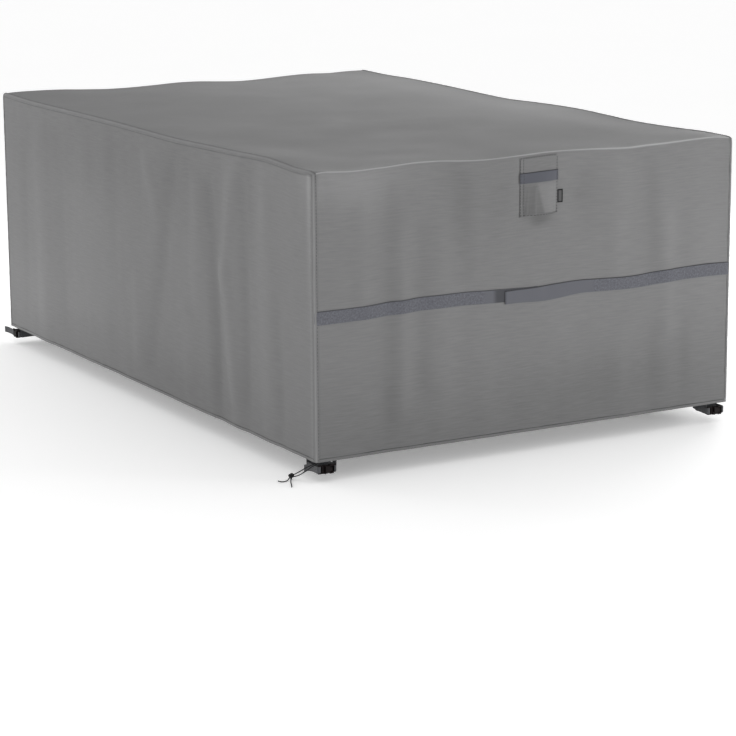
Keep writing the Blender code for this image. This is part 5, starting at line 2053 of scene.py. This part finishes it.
# ---------------------------------------------------------------- the whole
def build_canvas() -> list[Piece]:
    """The canvas panels with their seams, hems and stitches.

    Returns:
        The pieces made.
    """
    hem_line = HEM.stitch_line + HEM.past_edge
    front_fold = FORM.wall + FORM.fold / 2 + HEM.past_edge
    panel_length = FORM.over_top + 2 * HEM.past_edge
    roof_middle = panel_length / 2
    roof_half = roof_middle - front_fold - 0.006
    fold_highlight_at = front_fold + 0.0015
    # Painted light and shade on the main panel: a highlight along each fold under the roof, shade along each
    # hem's row of stitches and towards the hems, and the roof 3% darker.
    over_top = Canvas(
        "canvas over the top", hem_painted_shade=-0.21, panel_length=panel_length,
        lines=(
            Line(fold_highlight_at, 0.0050, 1.35), Line(panel_length - fold_highlight_at, 0.0050, 1.35),
            Line(hem_line, 0.0019, -0.45), Line(panel_length - hem_line, 0.0019, -0.45),
            Line(roof_middle, roof_half, -0.03, roof_half - 0.006),
        ),
        smooth=Line(roof_middle, roof_half, 0.70, roof_half - 0.03),
    ).material()
    under_seam_shade_at = FORM.height - FORM.seam_turn - 0.0022 + HEM.past_edge
    # Painted light and shade on the long walls: a highlight beside the front corners' seams, and shade along
    # the hem's row of stitches, just under the seam along the top and towards the hem.
    walls = Canvas(
        "canvas walls", hem_painted_shade=-0.07, cross_lines=(Line(0.0195 - FORM.half_y, 0.0085, 0.13),),
        lines=(Line(hem_line, 0.0019, -0.60), Line(under_seam_shade_at, 0.0042, -0.28)),
    ).material()
    thread = SewingThread().material()
    pale_thread = SewingThread("pale sewing thread", colour=(0.115, 0.115, 0.117)).material()
    main_panel = MainPanel().build(over_top)
    left = LongWall(-1, "canvas_left_wall", "side_panel_left", 0.0090, 0.0100, beside_seam=0.0013)
    right = LongWall(1, "canvas_right_wall", "side_panel_right", 0.0140, 0.0140)
    long_walls = [left.build(walls), right.build(walls)]
    seams, threads = [], []
    # Painted light and shade on the seams: each band's middle paler; on the left, shade in the end wall's row
    # of stitches; on the right, that row paler with pale thread and the band's front paler, as lit from the
    # right; faint shade in the wall's row.
    for side, word, row_light_and_shade, crown, cotton in (
        (-1, "left", -0.13, 0.0, thread), (1, "right", 0.10, 0.75, pale_thread),
    ):
        seam = FelledSeam(side, f"felled_seam_{word}", corner_highlight=Ridge(crown, 0.0050))
        wall_row = seam.width - seam.stitch_inset
        felled = Canvas(f"felled canvas {word}", lines=(
            Line(seam.width / 2, 0.0042, 0.38), Line(seam.stitch_inset, 0.0011, row_light_and_shade),
            Line(wall_row, 0.0011, -0.02),
        )).material()
        seams.append(seam.build(felled))
        threads.append(seam.stitch(f"seam_stitches_{word}_end", seam.stitch_inset, cotton))
        threads.append(seam.stitch(f"seam_stitches_{word}_wall", wall_row, pale_thread))
    hem_rows = Stitching("hem_stitches", pitch=0.0045, stitch=0.0032, thread=0.00050)
    line, panel_end = HEM.stitch_line, FORM.seam_x - 0.012
    wall_start, wall_end = 0.016 - FORM.half_y, FORM.half_y - 0.018
    for face, b, start, stop in (
        (TOP, line, -panel_end, panel_end), (TOP, FORM.over_top - line, -panel_end, panel_end),
        (SideWall(-1), line, wall_start, wall_end), (SideWall(1), line, wall_start, wall_end),
    ):
        hem_rows.row(lambda a, over: face.place(a, np.full_like(a, b), over), start, stop)
    threads.append(hem_rows.build(thread))
    return [main_panel, *long_walls, *seams, *threads]


def build_front_wall() -> list[Piece]:
    """The strap, the vent and the tab.


    Returns:
        The pieces made.
    """
    left_tape = PileTape(
        "pile tape left", smooth_from=-0.150, smooth_to=0.10, hooks_and_shadow_from=-0.136, hooks_and_shadow_tone=0.45,
        upper_edge_shade_tone=0.55,
    ).material()
    right_tape = PileTape("pile tape right", smooth_from=-0.20, smooth_to=0.203).material()
    plain_tape = PileTape(
        "smooth tape", colour=(0.070, 0.073, 0.088), smooth_from=-1.0, smooth_to=1.0, half_width=0.015
    ).material()
    left = StrapHalf("strap_tape_left", "strap_left", -Strap.end, 0.020).build(left_tape)
    right = StrapHalf(
        "strap_tape_right", "strap_right", -0.0915, Strap.end, lies_on_other=True, loose_end=0.0004
    ).build(right_tape)
    vent = Vent()
    # The hood's finish has painted light along its outer left row of stitches and painted shade along its
    # inner left and right rows.
    hood = vent.hood(Canvas("vent canvas", colour=(0.128, 0.128, 0.129), slub_length=0.04, cross_lines=(
        Line(vent.left + vent.outer_row, 0.0014, 0.05), Line(vent.left + vent.inner_row, 0.0012, -0.10),
        Line(vent.right - vent.outer_row, 0.0012, -0.08),
    )).material())
    band = vent.band(plain_tape)
    tab = vent.tab(BareTab().material())
    rows = Stitching("vent_stitches", pitch=0.0085, stitch=0.0046, thread=0.00075)
    vent.stitch(rows)
    thread = rows.build(SewingThread("vent thread").material())
    return [left, right, hood, band, tab, thread]


def build_corners() -> list[Piece]:
    """The webbing and buckles of all four corners.

    Returns:
        The pieces made.
    """
    webbing, plastic = WovenWebbing().material(), MouldedPlastic().material()
    made = []
    for tie in CORNERS:
        buckle = Buckle(tie)
        made += [tie.loop(webbing), tie.tail(webbing), buckle.bar_wrap(webbing), *tie.hangers(webbing)]
        made += [buckle.plug(plastic), buckle.socket(plastic)]
    return made


def main() -> None:
    """Build the cover piece by piece, then the studio round it."""
    logging.basicConfig(level=logging.INFO, format="%(name)s: %(message)s")
    PhotoCamera().build()
    pieces = Drawcord().build(BraidedCord().material())
    canvas = build_canvas()
    pieces += canvas
    pieces += build_front_wall()
    pieces += build_corners()
    Studio().build()
    for piece in pieces:
        log.info("%s", piece.name)


if __name__ == "__main__":
    main()
